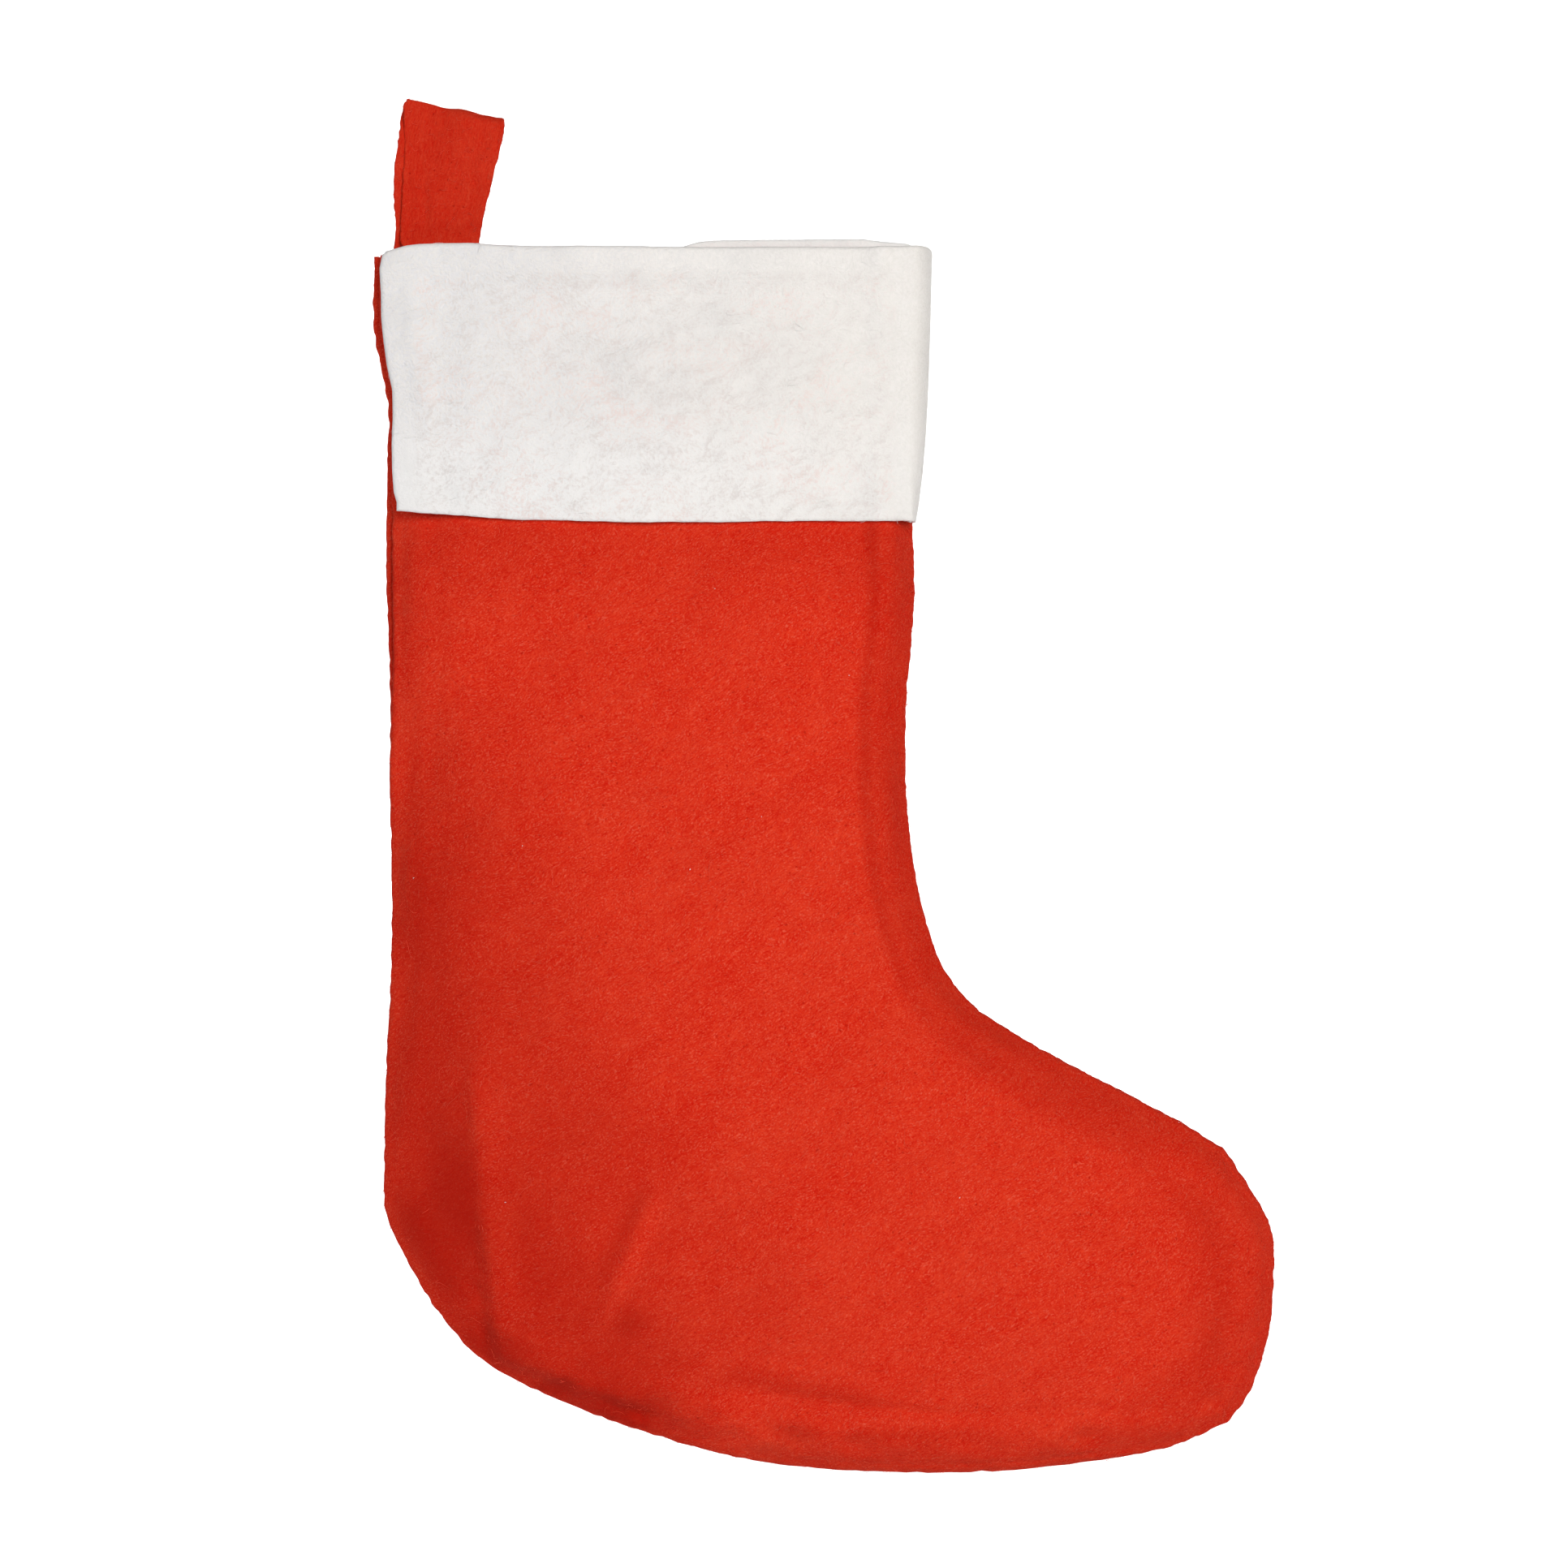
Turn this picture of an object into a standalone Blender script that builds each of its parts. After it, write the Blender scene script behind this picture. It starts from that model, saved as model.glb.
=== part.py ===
"""Hanging stocking of sewn felt: two red panels, a white turned-down cuff in two pieces and a felt loop.

Frame: +X towards the toe, -Y the front, +Z up. The origin is where a hook carries the loop: the
underside of the loop's top fold, in the middle of the strip. Each piece of felt is drawn as the
middle surface of its sheet, with its seam allowances turned in, and given its thickness by Solidify.
"""

import math

import bmesh
import bpy
from mathutils import Vector

MM = 0.001

# Sheets and clearances
RED_FELT = 1.0 * MM
WHITE_FELT = 1.2 * MM
PLAY = 0.3 * MM
THREAD = 0.6 * MM
ARC_STEPS = 4

# Heights
RIM = -41.0 * MM
CUFF_HEIGHT = 84.0 * MM
HINGE = RIM + 2.5 * MM

# Seam allowances: at the sides of the body and along the mouth
BODY_ALLOWANCE = 9.0 * MM
MOUTH_ALLOWANCE = 8.0 * MM
ALLOWANCE_COLUMNS = 2

# The turned edge of a red panel: radius of the fold, and where its middle surface runs
FOLD = 1.0 * MM
ALLOWANCE_PLANE = (PLAY + RED_FELT) / 2
EDGE_PLANE = ALLOWANCE_PLANE + 2 * FOLD
EDGE_REACH = FOLD + RED_FELT / 2

# Layers over a red panel, measured along Y from its middle surface
LAYER = 1.1
RED_TURNED = LAYER * (RED_FELT + PLAY)
WHITE_TURNED = RED_TURNED + LAYER * (RED_FELT / 2 + WHITE_FELT / 2 + PLAY)
WHITE_OUTER = WHITE_TURNED + LAYER * (WHITE_FELT + PLAY)
CUFF_SETTLE = RED_TURNED
SETTLE_FROM = RIM - 12 * MM
SETTLE_TO = RIM - 24 * MM

# The body's stations, mouth to toe, in mm: heel side (x, z), instep side (x, z), half depth
STATIONS = (
    ((-24.5, -44.2), (140.5, -44.2), 11.0),
    ((-24.5, -64.0), (140.5, -64.0), 11.5),
    ((-20.8, -88.0), (140.5, -88.0), 12.0),
    ((-21.0, -125.0), (141.2, -125.0), 12.0),
    ((-20.0, -165.0), (140.2, -160.0), 12.5),
    ((-19.0, -215.0), (139.2, -200.0), 13.0),
    ((-18.8, -252.0), (141.5, -230.0), 13.5),
    ((-20.0, -290.0), (147.0, -254.0), 14.0),
    ((-21.0, -325.0), (157.0, -271.0), 14.5),
    ((-17.0, -348.0), (166.5, -279.0), 14.5),
    ((-3.8, -369.5), (178.0, -286.0), 14.5),
    ((15.0, -387.0), (190.0, -292.5), 14.0),
    ((50.0, -402.0), (201.0, -298.5), 14.0),
    ((90.0, -413.0), (209.0, -303.0), 13.5),
    ((130.0, -417.5), (217.0, -307.0), 13.0),
    ((170.0, -417.0), (224.0, -311.0), 12.0),
    ((205.0, -413.0), (230.5, -315.0), 10.0),
    ((240.0, -401.5), (237.5, -319.0), 2.65),
)
TOE_END = ((240.0, -401.5), (249.0, -382.0), (252.2, -350.0), (246.5, -334.0), (237.5, -319.0))
TOE_FROM = 10
ROWS = 28
COLUMNS = 12

# At the heel side the back panel rolls this far past the front one, fading out down the leg
ROLL = 2.1 * MM
ROLL_FADE_FROM = -125 * MM
ROLL_FADE_TO = -165 * MM
# Where the body's thread goes with the roll: out of the groove, and towards the front
ROLLED_THREAD_OUT = 0.42 * MM
ROLLED_THREAD_FORWARD = 0.45 * MM
BACK_CUFF_SHORT = 3.0 * MM

# The loop, in mm: half width of the ring and its height along one leg, then its side edges
LOOP_HALF_WIDTHS = ((0.8, -36.5), (1.6, -30.0), (3.2, -19.0), (4.6, -10.0), (5.0, -4.5))
LOOP_NOSE = 0.8 * MM
LOOP_NOSE_GAP = 0.67 * MM
LOOP_TOP_RADIUS = 5.0 * MM
LOOP_EDGES_BOTTOM = (-17.0 * MM, 7.5 * MM)
LOOP_EDGES_TOP = (-15.5 * MM, 15.8 * MM)
LOOP_LEAN = math.radians(14)
LOOP_END_DEPTH = 21.0 * MM
LOOP_COLUMNS = 4

# The mouth's thread: how far below the rim it runs, and how far out from the panel
MOUTH_THREAD_DROP = 1.6 * MM
MOUTH_THREAD_OUT = 1.5 * MM

RED = (0.62, 0.035, 0.020)
DEEP_RED = (0.45, 0.020, 0.014)
WHITE = (0.86, 0.85, 0.83)


def clear_scene():
    for obj in list(bpy.data.objects):
        bpy.data.objects.remove(obj, do_unlink=True)


def make_material(name, color, roughness):
    material = bpy.data.materials.new(name)
    material.use_nodes = True
    shader = material.node_tree.nodes["Principled BSDF"]
    shader.inputs["Base Color"].default_value = (*color, 1)
    shader.inputs["Roughness"].default_value = roughness
    shader.inputs["Metallic"].default_value = 0
    return material


def smooth(points, count):
    """A Catmull-Rom curve through the points, as count + 1 samples."""
    points = [Vector(p) for p in points]
    ends = [2 * points[0] - points[1], *points, 2 * points[-1] - points[-2]]
    samples = []
    for i in range(count + 1):
        place = i / count * (len(points) - 1)
        k = min(int(place), len(points) - 2)
        t = place - k
        a, b, c, d = ends[k : k + 4]
        samples.append(
            0.5 * (2 * b + (c - a) * t + (2 * a - 5 * b + 4 * c - d) * t**2 + (3 * b - a - 3 * c + d) * t**3)
        )
    return samples


def between(value, start, end):
    """0 before start, 1 after end, and smooth in between."""
    t = min(max((value - start) / (end - start), 0), 1)
    return t * t * (3 - 2 * t)


def spread(k, count):
    """Columns across a panel, a little closer together at its edges."""
    return 0.6 * k / count + 0.2 * (1 - math.cos(math.pi * k / count))


def roll(z):
    return ROLL * (1 - between(-z, -ROLL_FADE_FROM, -ROLL_FADE_TO))


def lens(u, half_depth):
    """Half thickness of the hollow body at u, 0 at the heel side and 1 at the instep side."""
    return EDGE_PLANE + max(half_depth - EDGE_PLANE, 0) * math.sqrt(max(4 * u * (1 - u), 0))


def outline(front):
    """The panel's turned edge, with inward normals: (heel side, toe end, instep side, half depths)."""
    heel = [Vector(p) * MM for p in smooth([s[0] for s in STATIONS], ROWS)]
    instep = [Vector(p) * MM for p in smooth([s[1] for s in STATIONS], ROWS)]
    depths = [p.x * MM for p in smooth([(s[2], 0) for s in STATIONS], ROWS)]
    toe = [Vector(p) * MM for p in smooth(TOE_END, COLUMNS)]
    if front:
        heel = [p + Vector((roll(p.y), 0)) for p in heel]
    path = heel[:-1] + toe + instep[-2::-1]
    normals = []
    for i, point in enumerate(path):
        ahead = (path[min(i + 1, len(path) - 1)] - point).normalized()
        behind = (point - path[max(i - 1, 0)]).normalized()
        tangent = (ahead + behind).normalized()
        stretch = 1 / max(tangent.dot(ahead if i == 0 else behind), 0.7)
        normals.append(Vector((-tangent.y, tangent.x)) * stretch)
    centres = [p + n * EDGE_REACH for p, n in zip(path, normals)]
    return centres, normals, depths


class Sheet:
    """Points and faces of an open surface, built strip by strip."""

    def __init__(self):
        self.points = []
        self.faces = []

    def row(self, points):
        first = len(self.points)
        self.points.extend(points)
        return list(range(first, len(self.points)))

    def strip(self, one, other):
        for i in range(len(one) - 1):
            self.faces.append((one[i], one[i + 1], other[i + 1], other[i]))

    def grid(self, rows):
        for one, other in zip(rows, rows[1:]):
            self.strip(one, other)

    def build(self, name, thickness, material, collection):
        mesh = bpy.data.meshes.new(name)
        mesh.from_pydata([tuple(p) for p in self.points], [], self.faces)
        shape = bmesh.new()
        shape.from_mesh(mesh)
        bmesh.ops.recalc_face_normals(shape, faces=shape.faces)
        shape.to_mesh(mesh)
        shape.free()
        mesh.materials.append(material)
        obj = bpy.data.objects.new(name, mesh)
        collection.objects.link(obj)
        solidify = obj.modifiers.new("Felt thickness", "SOLIDIFY")
        solidify.thickness = thickness
        solidify.offset = 0
        solidify.use_even_offset = True
        mesh.shade_smooth()
        return obj


def panel(name, front, material, collection):
    """A red panel: its bulging face, the allowance turned in all round, and the one turned out at the mouth."""
    side = -1 if front else 1
    centres, normals, depths = outline(front)
    heel = centres[: ROWS + 1]
    toe = centres[ROWS : ROWS + COLUMNS + 1]
    instep = centres[ROWS + COLUMNS :][::-1]
    sheet = Sheet()
    rows = []
    for j in range(ROWS + 1):
        bend = max((j / ROWS * (len(STATIONS) - 1) - TOE_FROM) / (len(STATIONS) - 1 - TOE_FROM), 0) ** 2
        points = []
        for k in range(COLUMNS + 1):
            u = spread(k, COLUMNS)
            place = heel[j].lerp(instep[j], u)
            place += bend * (toe[k] - toe[0].lerp(toe[-1], u))
            points.append((place.x, side * lens(u, depths[j]), place.y))
        rows.append(sheet.row(points))
    sheet.grid(rows)

    border = [row[0] for row in rows] + rows[-1][1:] + [row[-1] for row in rows[-2::-1]]
    previous = border
    for step in range(1, ARC_STEPS + 1):
        angle = math.pi * step / ARC_STEPS
        y = side * (ALLOWANCE_PLANE + FOLD + FOLD * math.cos(angle))
        ring = sheet.row(
            [(c.x - n.x * FOLD * math.sin(angle), y, c.y - n.y * FOLD * math.sin(angle))
             for c, n in zip(centres, normals)]
        )
        sheet.strip(previous, ring)
        previous = ring
    inner = sheet.row(
        [(c.x + n.x * BODY_ALLOWANCE, side * ALLOWANCE_PLANE, c.y + n.y * BODY_ALLOWANCE)
         for c, n in zip(centres, normals)]
    )
    sheet.strip(previous, inner)

    columns = range(ALLOWANCE_COLUMNS, COLUMNS - ALLOWANCE_COLUMNS + 1)
    top = [rows[0][k] for k in columns]
    radius = RED_TURNED / 2
    previous = top
    for step in range(1, ARC_STEPS + 1):
        angle = math.pi * step / ARC_STEPS
        previous_points = [sheet.points[i] for i in top]
        arc = sheet.row(
            [(p[0], p[1] + side * radius * (1 - math.cos(angle)), p[2] + radius * math.sin(angle))
             for p in previous_points]
        )
        sheet.strip(previous, arc)
        previous = arc
    hem = sheet.row([(x, y, z - MOUTH_ALLOWANCE) for x, y, z in (sheet.points[i] for i in previous)])
    sheet.strip(previous, hem)
    return sheet.build(name, RED_FELT, material, collection)


def leg_at(z, front):
    """Heel side and instep side of the turned edge's centre line at a height on the leg, and the half depth."""
    upper = STATIONS[:5]
    count = 40
    heel = smooth([s[0] for s in upper], count)
    instep = smooth([s[1] for s in upper], count)
    depth = smooth([(s[2], s[0][1]) for s in upper], count)
    i = min(range(count + 1), key=lambda n: abs(heel[n].y * MM - z))
    left = heel[i].x * MM + EDGE_REACH + (roll(z) if front else 0)
    return left, instep[i].x * MM - EDGE_REACH, depth[i].x * MM


def cuff_layer(z, front, shift, start):
    """One layer of the cuff at a height: over the panel, then round the instep side to the seam."""
    side = -1 if front else 1
    left, right, depth = leg_at(z, front)
    line = []
    for k in range(COLUMNS + 1):
        u = spread(k, COLUMNS)
        x = left + start + (right - left - start) * u
        body_u = (x - left) / (right - left)
        line.append(Vector((x, side * (lens(body_u, depth) + shift), z)))
    radius = EDGE_PLANE + shift
    last = math.acos((PLAY / 2 + WHITE_FELT / 2 + (WHITE_OUTER - WHITE_TURNED) / 2) / radius)
    for step in range(1, ARC_STEPS + 1):
        angle = last * step / ARC_STEPS
        line.append(Vector((right + radius * math.sin(angle), side * radius * math.cos(angle), z)))
    return line


def turn_under(inner, outer, away):
    """The fold that joins two layers at one end, bulging in the direction away."""
    middle = (inner + outer) / 2
    half = (outer - inner) / 2
    points = []
    for step in range(1, ARC_STEPS):
        angle = math.pi * step / ARC_STEPS
        points.append(middle - half * math.cos(angle) + away * half.length * math.sin(angle))
    return points


def settle(z):
    """How far the cuff lies in towards the body below the turned allowances at its top."""
    return CUFF_SETTLE * between(-z, -SETTLE_FROM, -SETTLE_TO)


def cuff(name, front, material, collection):
    side = -1 if front else 1
    start = 0 if front else BACK_CUFF_SHORT
    fold = (WHITE_OUTER - WHITE_TURNED) / 2
    top = RIM - fold - WHITE_FELT / 2
    bottom = RIM - CUFF_HEIGHT
    heights = [top, RIM - 7 * MM, SETTLE_FROM, (SETTLE_FROM + SETTLE_TO) / 2, SETTLE_TO]
    heights += [SETTLE_TO + (bottom - SETTLE_TO) * n / 4 for n in range(1, 5)]
    sheet = Sheet()
    rows = []
    for z in heights:
        outer = cuff_layer(z, front, WHITE_OUTER - settle(z), start)
        inner = cuff_layer(z, front, WHITE_TURNED - settle(z), start)
        end = (outer[-1] - outer[-2]).normalized()
        left = inner[ALLOWANCE_COLUMNS::-1] + turn_under(inner[0], outer[0], Vector((-1, 0, 0)))
        right = turn_under(outer[-1], inner[-1], end) + inner[: -ARC_STEPS - 2 : -1]
        rows.append(sheet.row(left + outer + right))
    sheet.grid(rows)

    first = ALLOWANCE_COLUMNS + ARC_STEPS + ALLOWANCE_COLUMNS
    last = first + COLUMNS - 2 * ALLOWANCE_COLUMNS
    line = rows[0][first : last + 1]
    edge = [sheet.points[i] for i in line]
    previous = line
    for step in range(1, ARC_STEPS + 1):
        angle = math.pi * step / ARC_STEPS
        arc = sheet.row(
            [p + Vector((0, -side * fold * (1 - math.cos(angle)), fold * math.sin(angle))) for p in edge]
        )
        sheet.strip(previous, arc)
        previous = arc
    hem = sheet.row([sheet.points[i] - Vector((0, 0, MOUTH_ALLOWANCE)) for i in previous])
    sheet.strip(previous, hem)
    return sheet.build(name, WHITE_FELT, material, collection)


def loop_place(x_share, y, z, height_share):
    """A point of the strip, whose side edges spread towards the top and whose top leans down at the toe side."""
    low = LOOP_EDGES_BOTTOM[0] + (LOOP_EDGES_TOP[0] - LOOP_EDGES_BOTTOM[0]) * height_share
    high = LOOP_EDGES_BOTTOM[1] + (LOOP_EDGES_TOP[1] - LOOP_EDGES_BOTTOM[1]) * height_share
    x = low + (high - low) * x_share
    return (x, y, z - math.tan(LOOP_LEAN) * x * height_share**2)


def hanging_loop(name, material, collection, root):
    """The part of the strip above its bend: a closed ring, open through along X."""
    leg = [Vector(p) * MM for p in smooth(LOOP_HALF_WIDTHS, 8)]
    low = leg[0].y
    top_centre = leg[-1].y
    profile = list(leg)
    for step in range(1, 8):
        angle = math.pi * step / 8
        profile.append(Vector((math.cos(angle), math.sin(angle))) * LOOP_TOP_RADIUS + Vector((0, top_centre)))
    profile += [Vector((-p.x, p.y)) for p in leg[::-1]]
    for step in range(1, ARC_STEPS):
        angle = math.pi * (1 + step / ARC_STEPS)
        profile.append(Vector((math.cos(angle), math.sin(angle))) * LOOP_NOSE + Vector((0, low)))
    sheet = Sheet()
    rows = []
    for point in profile:
        share = max((point.y - low) / -low, 0)
        rows.append(
            sheet.row([loop_place(n / LOOP_COLUMNS, point.x, point.y, share) for n in range(LOOP_COLUMNS + 1)])
        )
    sheet.grid([*rows, rows[0]])
    loop = sheet.build(name, RED_FELT, material, collection)
    loop.parent = root
    return loop


def loop_ends(name, material, collection):
    """The two ends of the strip inside the mouth, one on each side of the body's allowances."""
    centre = HINGE - LOOP_NOSE_GAP - RED_FELT / 2 - LOOP_NOSE
    straddle = ALLOWANCE_PLANE + RED_FELT + PLAY
    spread_out = RIM - 2.6 * MM
    bottom = RIM - LOOP_END_DEPTH
    leg = [(straddle, bottom), (straddle, spread_out), (LOOP_NOSE, centre)]
    nose = []
    for step in range(1, ARC_STEPS):
        angle = math.pi * step / ARC_STEPS
        nose.append((LOOP_NOSE * math.cos(angle), centre + LOOP_NOSE * math.sin(angle)))
    profile = leg + nose + [(-y, z) for y, z in leg[::-1]]
    sheet = Sheet()
    rows = []
    for y, z in profile:
        rows.append(sheet.row([loop_place(n / LOOP_COLUMNS, y, z, 0) for n in range(LOOP_COLUMNS + 1)]))
    sheet.grid(rows)
    return sheet.build(name, RED_FELT, material, collection)


def thread(name, points, material, collection):
    """A tube of thread along the points."""
    curve = bpy.data.curves.new(name, "CURVE")
    curve.dimensions = "3D"
    curve.bevel_depth = THREAD / 2
    curve.bevel_resolution = 1
    curve.use_fill_caps = True
    spline = curve.splines.new("POLY")
    spline.points.add(len(points) - 1)
    for target, point in zip(spline.points, points):
        target.co = (*point, 1)
    curve.materials.append(material)
    obj = bpy.data.objects.new(name, curve)
    collection.objects.link(obj)
    return obj


def body_stitching(material, collection):
    """The thread that closes the body, in the groove between the two turned edges."""
    centres, normals, _ = outline(front=True)
    reach = math.sqrt((EDGE_REACH + PLAY + THREAD / 2) ** 2 - (ALLOWANCE_PLANE + FOLD) ** 2)
    points = []
    for i, (centre, normal) in enumerate(zip(centres, normals)):
        share = roll(centre.y) / ROLL if i <= ROWS else 0
        place = centre - normal.normalized() * (reach + ROLLED_THREAD_OUT * share)
        points.append((place.x, -ROLLED_THREAD_FORWARD * share, place.y))
    return thread("body_stitching", points, material, collection)


def mouth_stitching(name, front, material, collection):
    """The thread that joins a panel and its cuff, in the valley between their folds along the mouth."""
    side = -1 if front else 1
    z = RIM - MOUTH_THREAD_DROP
    left, right, depth = leg_at(STATIONS[0][0][1] * MM, front)
    points = []
    for k in range(ALLOWANCE_COLUMNS, COLUMNS - ALLOWANCE_COLUMNS + 1):
        u = spread(k, COLUMNS)
        points.append((left + (right - left) * u, side * (lens(u, depth) + MOUTH_THREAD_OUT), z))
    return thread(name, points, material, collection)


def cuff_side_stitching(material, collection):
    """The thread that joins the two cuff pieces at the instep side, in the groove between their folds."""
    fold = (WHITE_OUTER - WHITE_TURNED) / 2
    nose = fold + WHITE_FELT / 2
    gap = PLAY / 2 + nose
    reach = math.sqrt((nose + PLAY + THREAD / 2) ** 2 - gap**2)
    points = []
    for n in range(9):
        z = RIM - 5 * MM - (CUFF_HEIGHT - 8 * MM) * n / 8
        _, right, _ = leg_at(z, True)
        radius = EDGE_PLANE + (WHITE_OUTER + WHITE_TURNED) / 2 - settle(z)
        points.append((right + math.sqrt(radius**2 - gap**2) + reach, 0, z))
    return thread("cuff_side_stitching", points, material, collection)


def loop_stitching(material, collection):
    """The bar of zigzag stitches that tacks the loop's ends down."""
    y = -(ALLOWANCE_PLANE + RED_FELT + PLAY + RED_FELT / 2 + PLAY + THREAD / 2)
    low, high = LOOP_EDGES_BOTTOM
    count = 12
    margin = 3 * MM
    points = []
    for n in range(count + 1):
        x = low + margin + (high - low - 2 * margin) * n / count
        z = RIM - (11 * MM if n % 2 else 14 * MM)
        points.append((x, y, z))
    return thread("loop_stitching", points, material, collection)


def main():
    clear_scene()
    collection = bpy.data.collections.new("hanging_stocking")
    bpy.context.scene.collection.children.link(collection)
    red = make_material("red_felt", RED, 0.95)
    white = make_material("white_felt", WHITE, 0.95)
    red_thread = make_material("red_thread", DEEP_RED, 0.7)
    white_thread = make_material("white_thread", WHITE, 0.7)

    hook = bpy.data.objects.new("hook_point", None)
    collection.objects.link(hook)
    bend = bpy.data.objects.new("loop_bend", None)
    bend.location = (0, 0, HINGE)
    bend.parent = hook
    collection.objects.link(bend)

    hanging_loop("hanging_loop", red, collection, hook)
    hung = [
        panel("front_panel", True, red, collection),
        panel("back_panel", False, red, collection),
        cuff("cuff_front", True, white, collection),
        cuff("cuff_back", False, white, collection),
        loop_ends("hanging_loop_ends", red, collection),
        body_stitching(red_thread, collection),
        mouth_stitching("cuff_front_stitching", True, white_thread, collection),
        mouth_stitching("cuff_back_stitching", False, white_thread, collection),
        cuff_side_stitching(white_thread, collection),
        loop_stitching(red_thread, collection),
    ]
    for piece in hung:
        piece.parent = bend
        piece.location = (0, 0, -HINGE)


main()
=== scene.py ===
"""Looks of the hanging stocking: felt panels, a turned-down cuff, a loop, thread and stray fibres.

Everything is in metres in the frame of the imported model: +X towards the toe, -Y the front, +Z up, with the
origin under the loop's top fold. Lists of points are in millimetres and are scaled by MM.
"""

import math

import bmesh
import bpy
import numpy as np
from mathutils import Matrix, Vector


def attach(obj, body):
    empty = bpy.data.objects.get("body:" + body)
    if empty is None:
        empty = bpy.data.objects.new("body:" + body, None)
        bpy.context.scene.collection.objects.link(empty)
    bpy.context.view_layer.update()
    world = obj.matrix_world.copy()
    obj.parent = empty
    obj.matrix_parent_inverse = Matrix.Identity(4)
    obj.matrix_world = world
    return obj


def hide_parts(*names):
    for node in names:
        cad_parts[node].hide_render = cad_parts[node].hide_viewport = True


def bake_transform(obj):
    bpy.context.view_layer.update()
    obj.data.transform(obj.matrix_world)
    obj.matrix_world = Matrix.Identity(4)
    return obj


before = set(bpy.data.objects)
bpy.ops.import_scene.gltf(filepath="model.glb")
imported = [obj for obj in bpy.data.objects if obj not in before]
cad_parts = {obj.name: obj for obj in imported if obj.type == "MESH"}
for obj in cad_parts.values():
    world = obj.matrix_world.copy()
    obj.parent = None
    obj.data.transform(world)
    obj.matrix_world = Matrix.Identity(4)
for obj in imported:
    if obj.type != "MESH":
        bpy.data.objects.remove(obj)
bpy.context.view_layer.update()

MM = 0.001
STOCKING = "stocking"
# Name of the attribute that carries the panels' painted shade
PAINTED_SHADE = "painted_shade"

# ---- sizes
RED_FELT = 1.0 * MM
WHITE_FELT = 1.3 * MM
THREAD = 0.5 * MM

# The turned edge of a panel: radius of its fold, the plane of the allowance inside, and its width
FOLD = 1.0 * MM
ALLOWANCE_PLANE = 0.65 * MM
BODY_ALLOWANCE = 9 * MM
MOUTH_ALLOWANCE = 8 * MM
PANEL_ROWS = 330
PANEL_COLUMNS = 106
FOLD_STEPS = 6

# The sewn body, mouth to toe: x and z of its heel side and of its instep side, the middle's crown, how high
# the heel side rises, how far in it rounds off and how abruptly, and how high and how far in at the instep side
STATIONS = (
    (-24.9, -43.4, 141.0, -44.0, 3.6, 3.6, 22, 1.6, 6.0, 11),
    (-25.2, -54, 140.6, -54, 3.8, 3.6, 22, 1.6, 6.0, 11),
    (-25.0, -66, 140.2, -66, 4.0, 3.6, 22, 1.6, 6.0, 11),
    (-22.8, -78, 139.9, -78, 4.2, 3.8, 22, 1.6, 6.0, 11),
    (-20.6, -91, 139.6, -91, 4.4, 4.0, 23, 1.6, 6.0, 11),
    (-20.9, -106, 139.5, -106, 4.4, 4.4, 24, 1.7, 6.0, 11),
    (-21.2, -126, 140.9, -126, 4.2, 5.0, 25, 1.9, 6.2, 12),
    (-21.2, -146, 141.6, -144, 4.0, 5.0, 25, 1.9, 6.4, 13),
    (-20.4, -164, 140.9, -160, 3.8, 4.8, 25, 1.9, 6.6, 14),
    (-20.0, -186, 139.3, -178, 3.8, 5.0, 26, 1.9, 6.8, 15),
    (-19.9, -207, 138.9, -196, 3.8, 6.2, 27, 1.9, 7.0, 16),
    (-19.4, -228, 139.4, -213, 3.8, 7.8, 29, 1.8, 7.0, 17),
    (-19.2, -250, 141.2, -229, 3.8, 8.8, 30, 1.7, 7.0, 18),
    (-19.7, -270, 144.6, -246, 3.8, 9.2, 29, 1.5, 7.0, 19),
    (-20.9, -293, 150.5, -262.5, 3.8, 9.6, 28, 1.35, 7.2, 20),
    (-21.4, -318, 159.5, -274, 3.8, 9.8, 28, 1.3, 7.4, 20),
    (-20.9, -338, 170.0, -281.3, 3.8, 9.8, 28, 1.3, 7.4, 21),
    (-13.4, -354.5, 179.5, -287, 3.8, 9.4, 27, 1.35, 7.4, 21),
    (-4.1, -369.5, 186.5, -290.8, 3.8, 8.8, 24, 1.5, 7.4, 21),
    (10.4, -384.5, 193.5, -294.6, 3.8, 7.6, 21, 1.8, 7.4, 21),
    (35.4, -396.9, 201.0, -298.3, 3.8, 6.6, 19, 2.2, 7.4, 21),
    (63.1, -406.7, 208.4, -302, 3.8, 6.2, 18, 2.4, 7.4, 21),
    (94.5, -414.5, 215.5, -306, 3.6, 6.0, 18, 2.6, 7.4, 21),
    (130.0, -417.6, 222.5, -309.5, 3.2, 6.0, 18, 2.8, 7.6, 21),
    (170.0, -417.3, 228.5, -313, 2.4, 6.0, 18, 2.8, 7.8, 22),
    (208.6, -412.5, 233.0, -316, 1.2, 6.0, 19, 2.8, 8.0, 22),
    (224.6, -408.3, 235.0, -317.2, 0.6, 6.0, 20, 2.8, 8.0, 22),
    (237.9, -402.3, 236.9, -318.1, 0.0, 6.0, 21, 2.8, 8.0, 23),
)
INSTEP_POWER = 2.2
# The rows of the panel that lie on the leg
LEG_ROWS = 140
# The end of the toe, the station from which the rows bend towards it, and how it rounds off
TOE_END = (
    (237.9, -402.3), (243.4, -395.4), (247.2, -387), (250.1, -377.5), (251.7, -367),
    (252.3, -355), (252.0, -345.5), (249.8, -338.8), (246.0, -332.0), (236.9, -318.1),
)
TOE_FROM = 15
TOE_ROUNDING = 22
TOE_POWER = 2.6

# The crease down the heel: (height, x)
HEEL_CREASE = ((-290, 6.0), (-310, 6.9), (-330, 8.8), (-350, 10.7), (-365, 12.2), (-384, 14.5))

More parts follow.
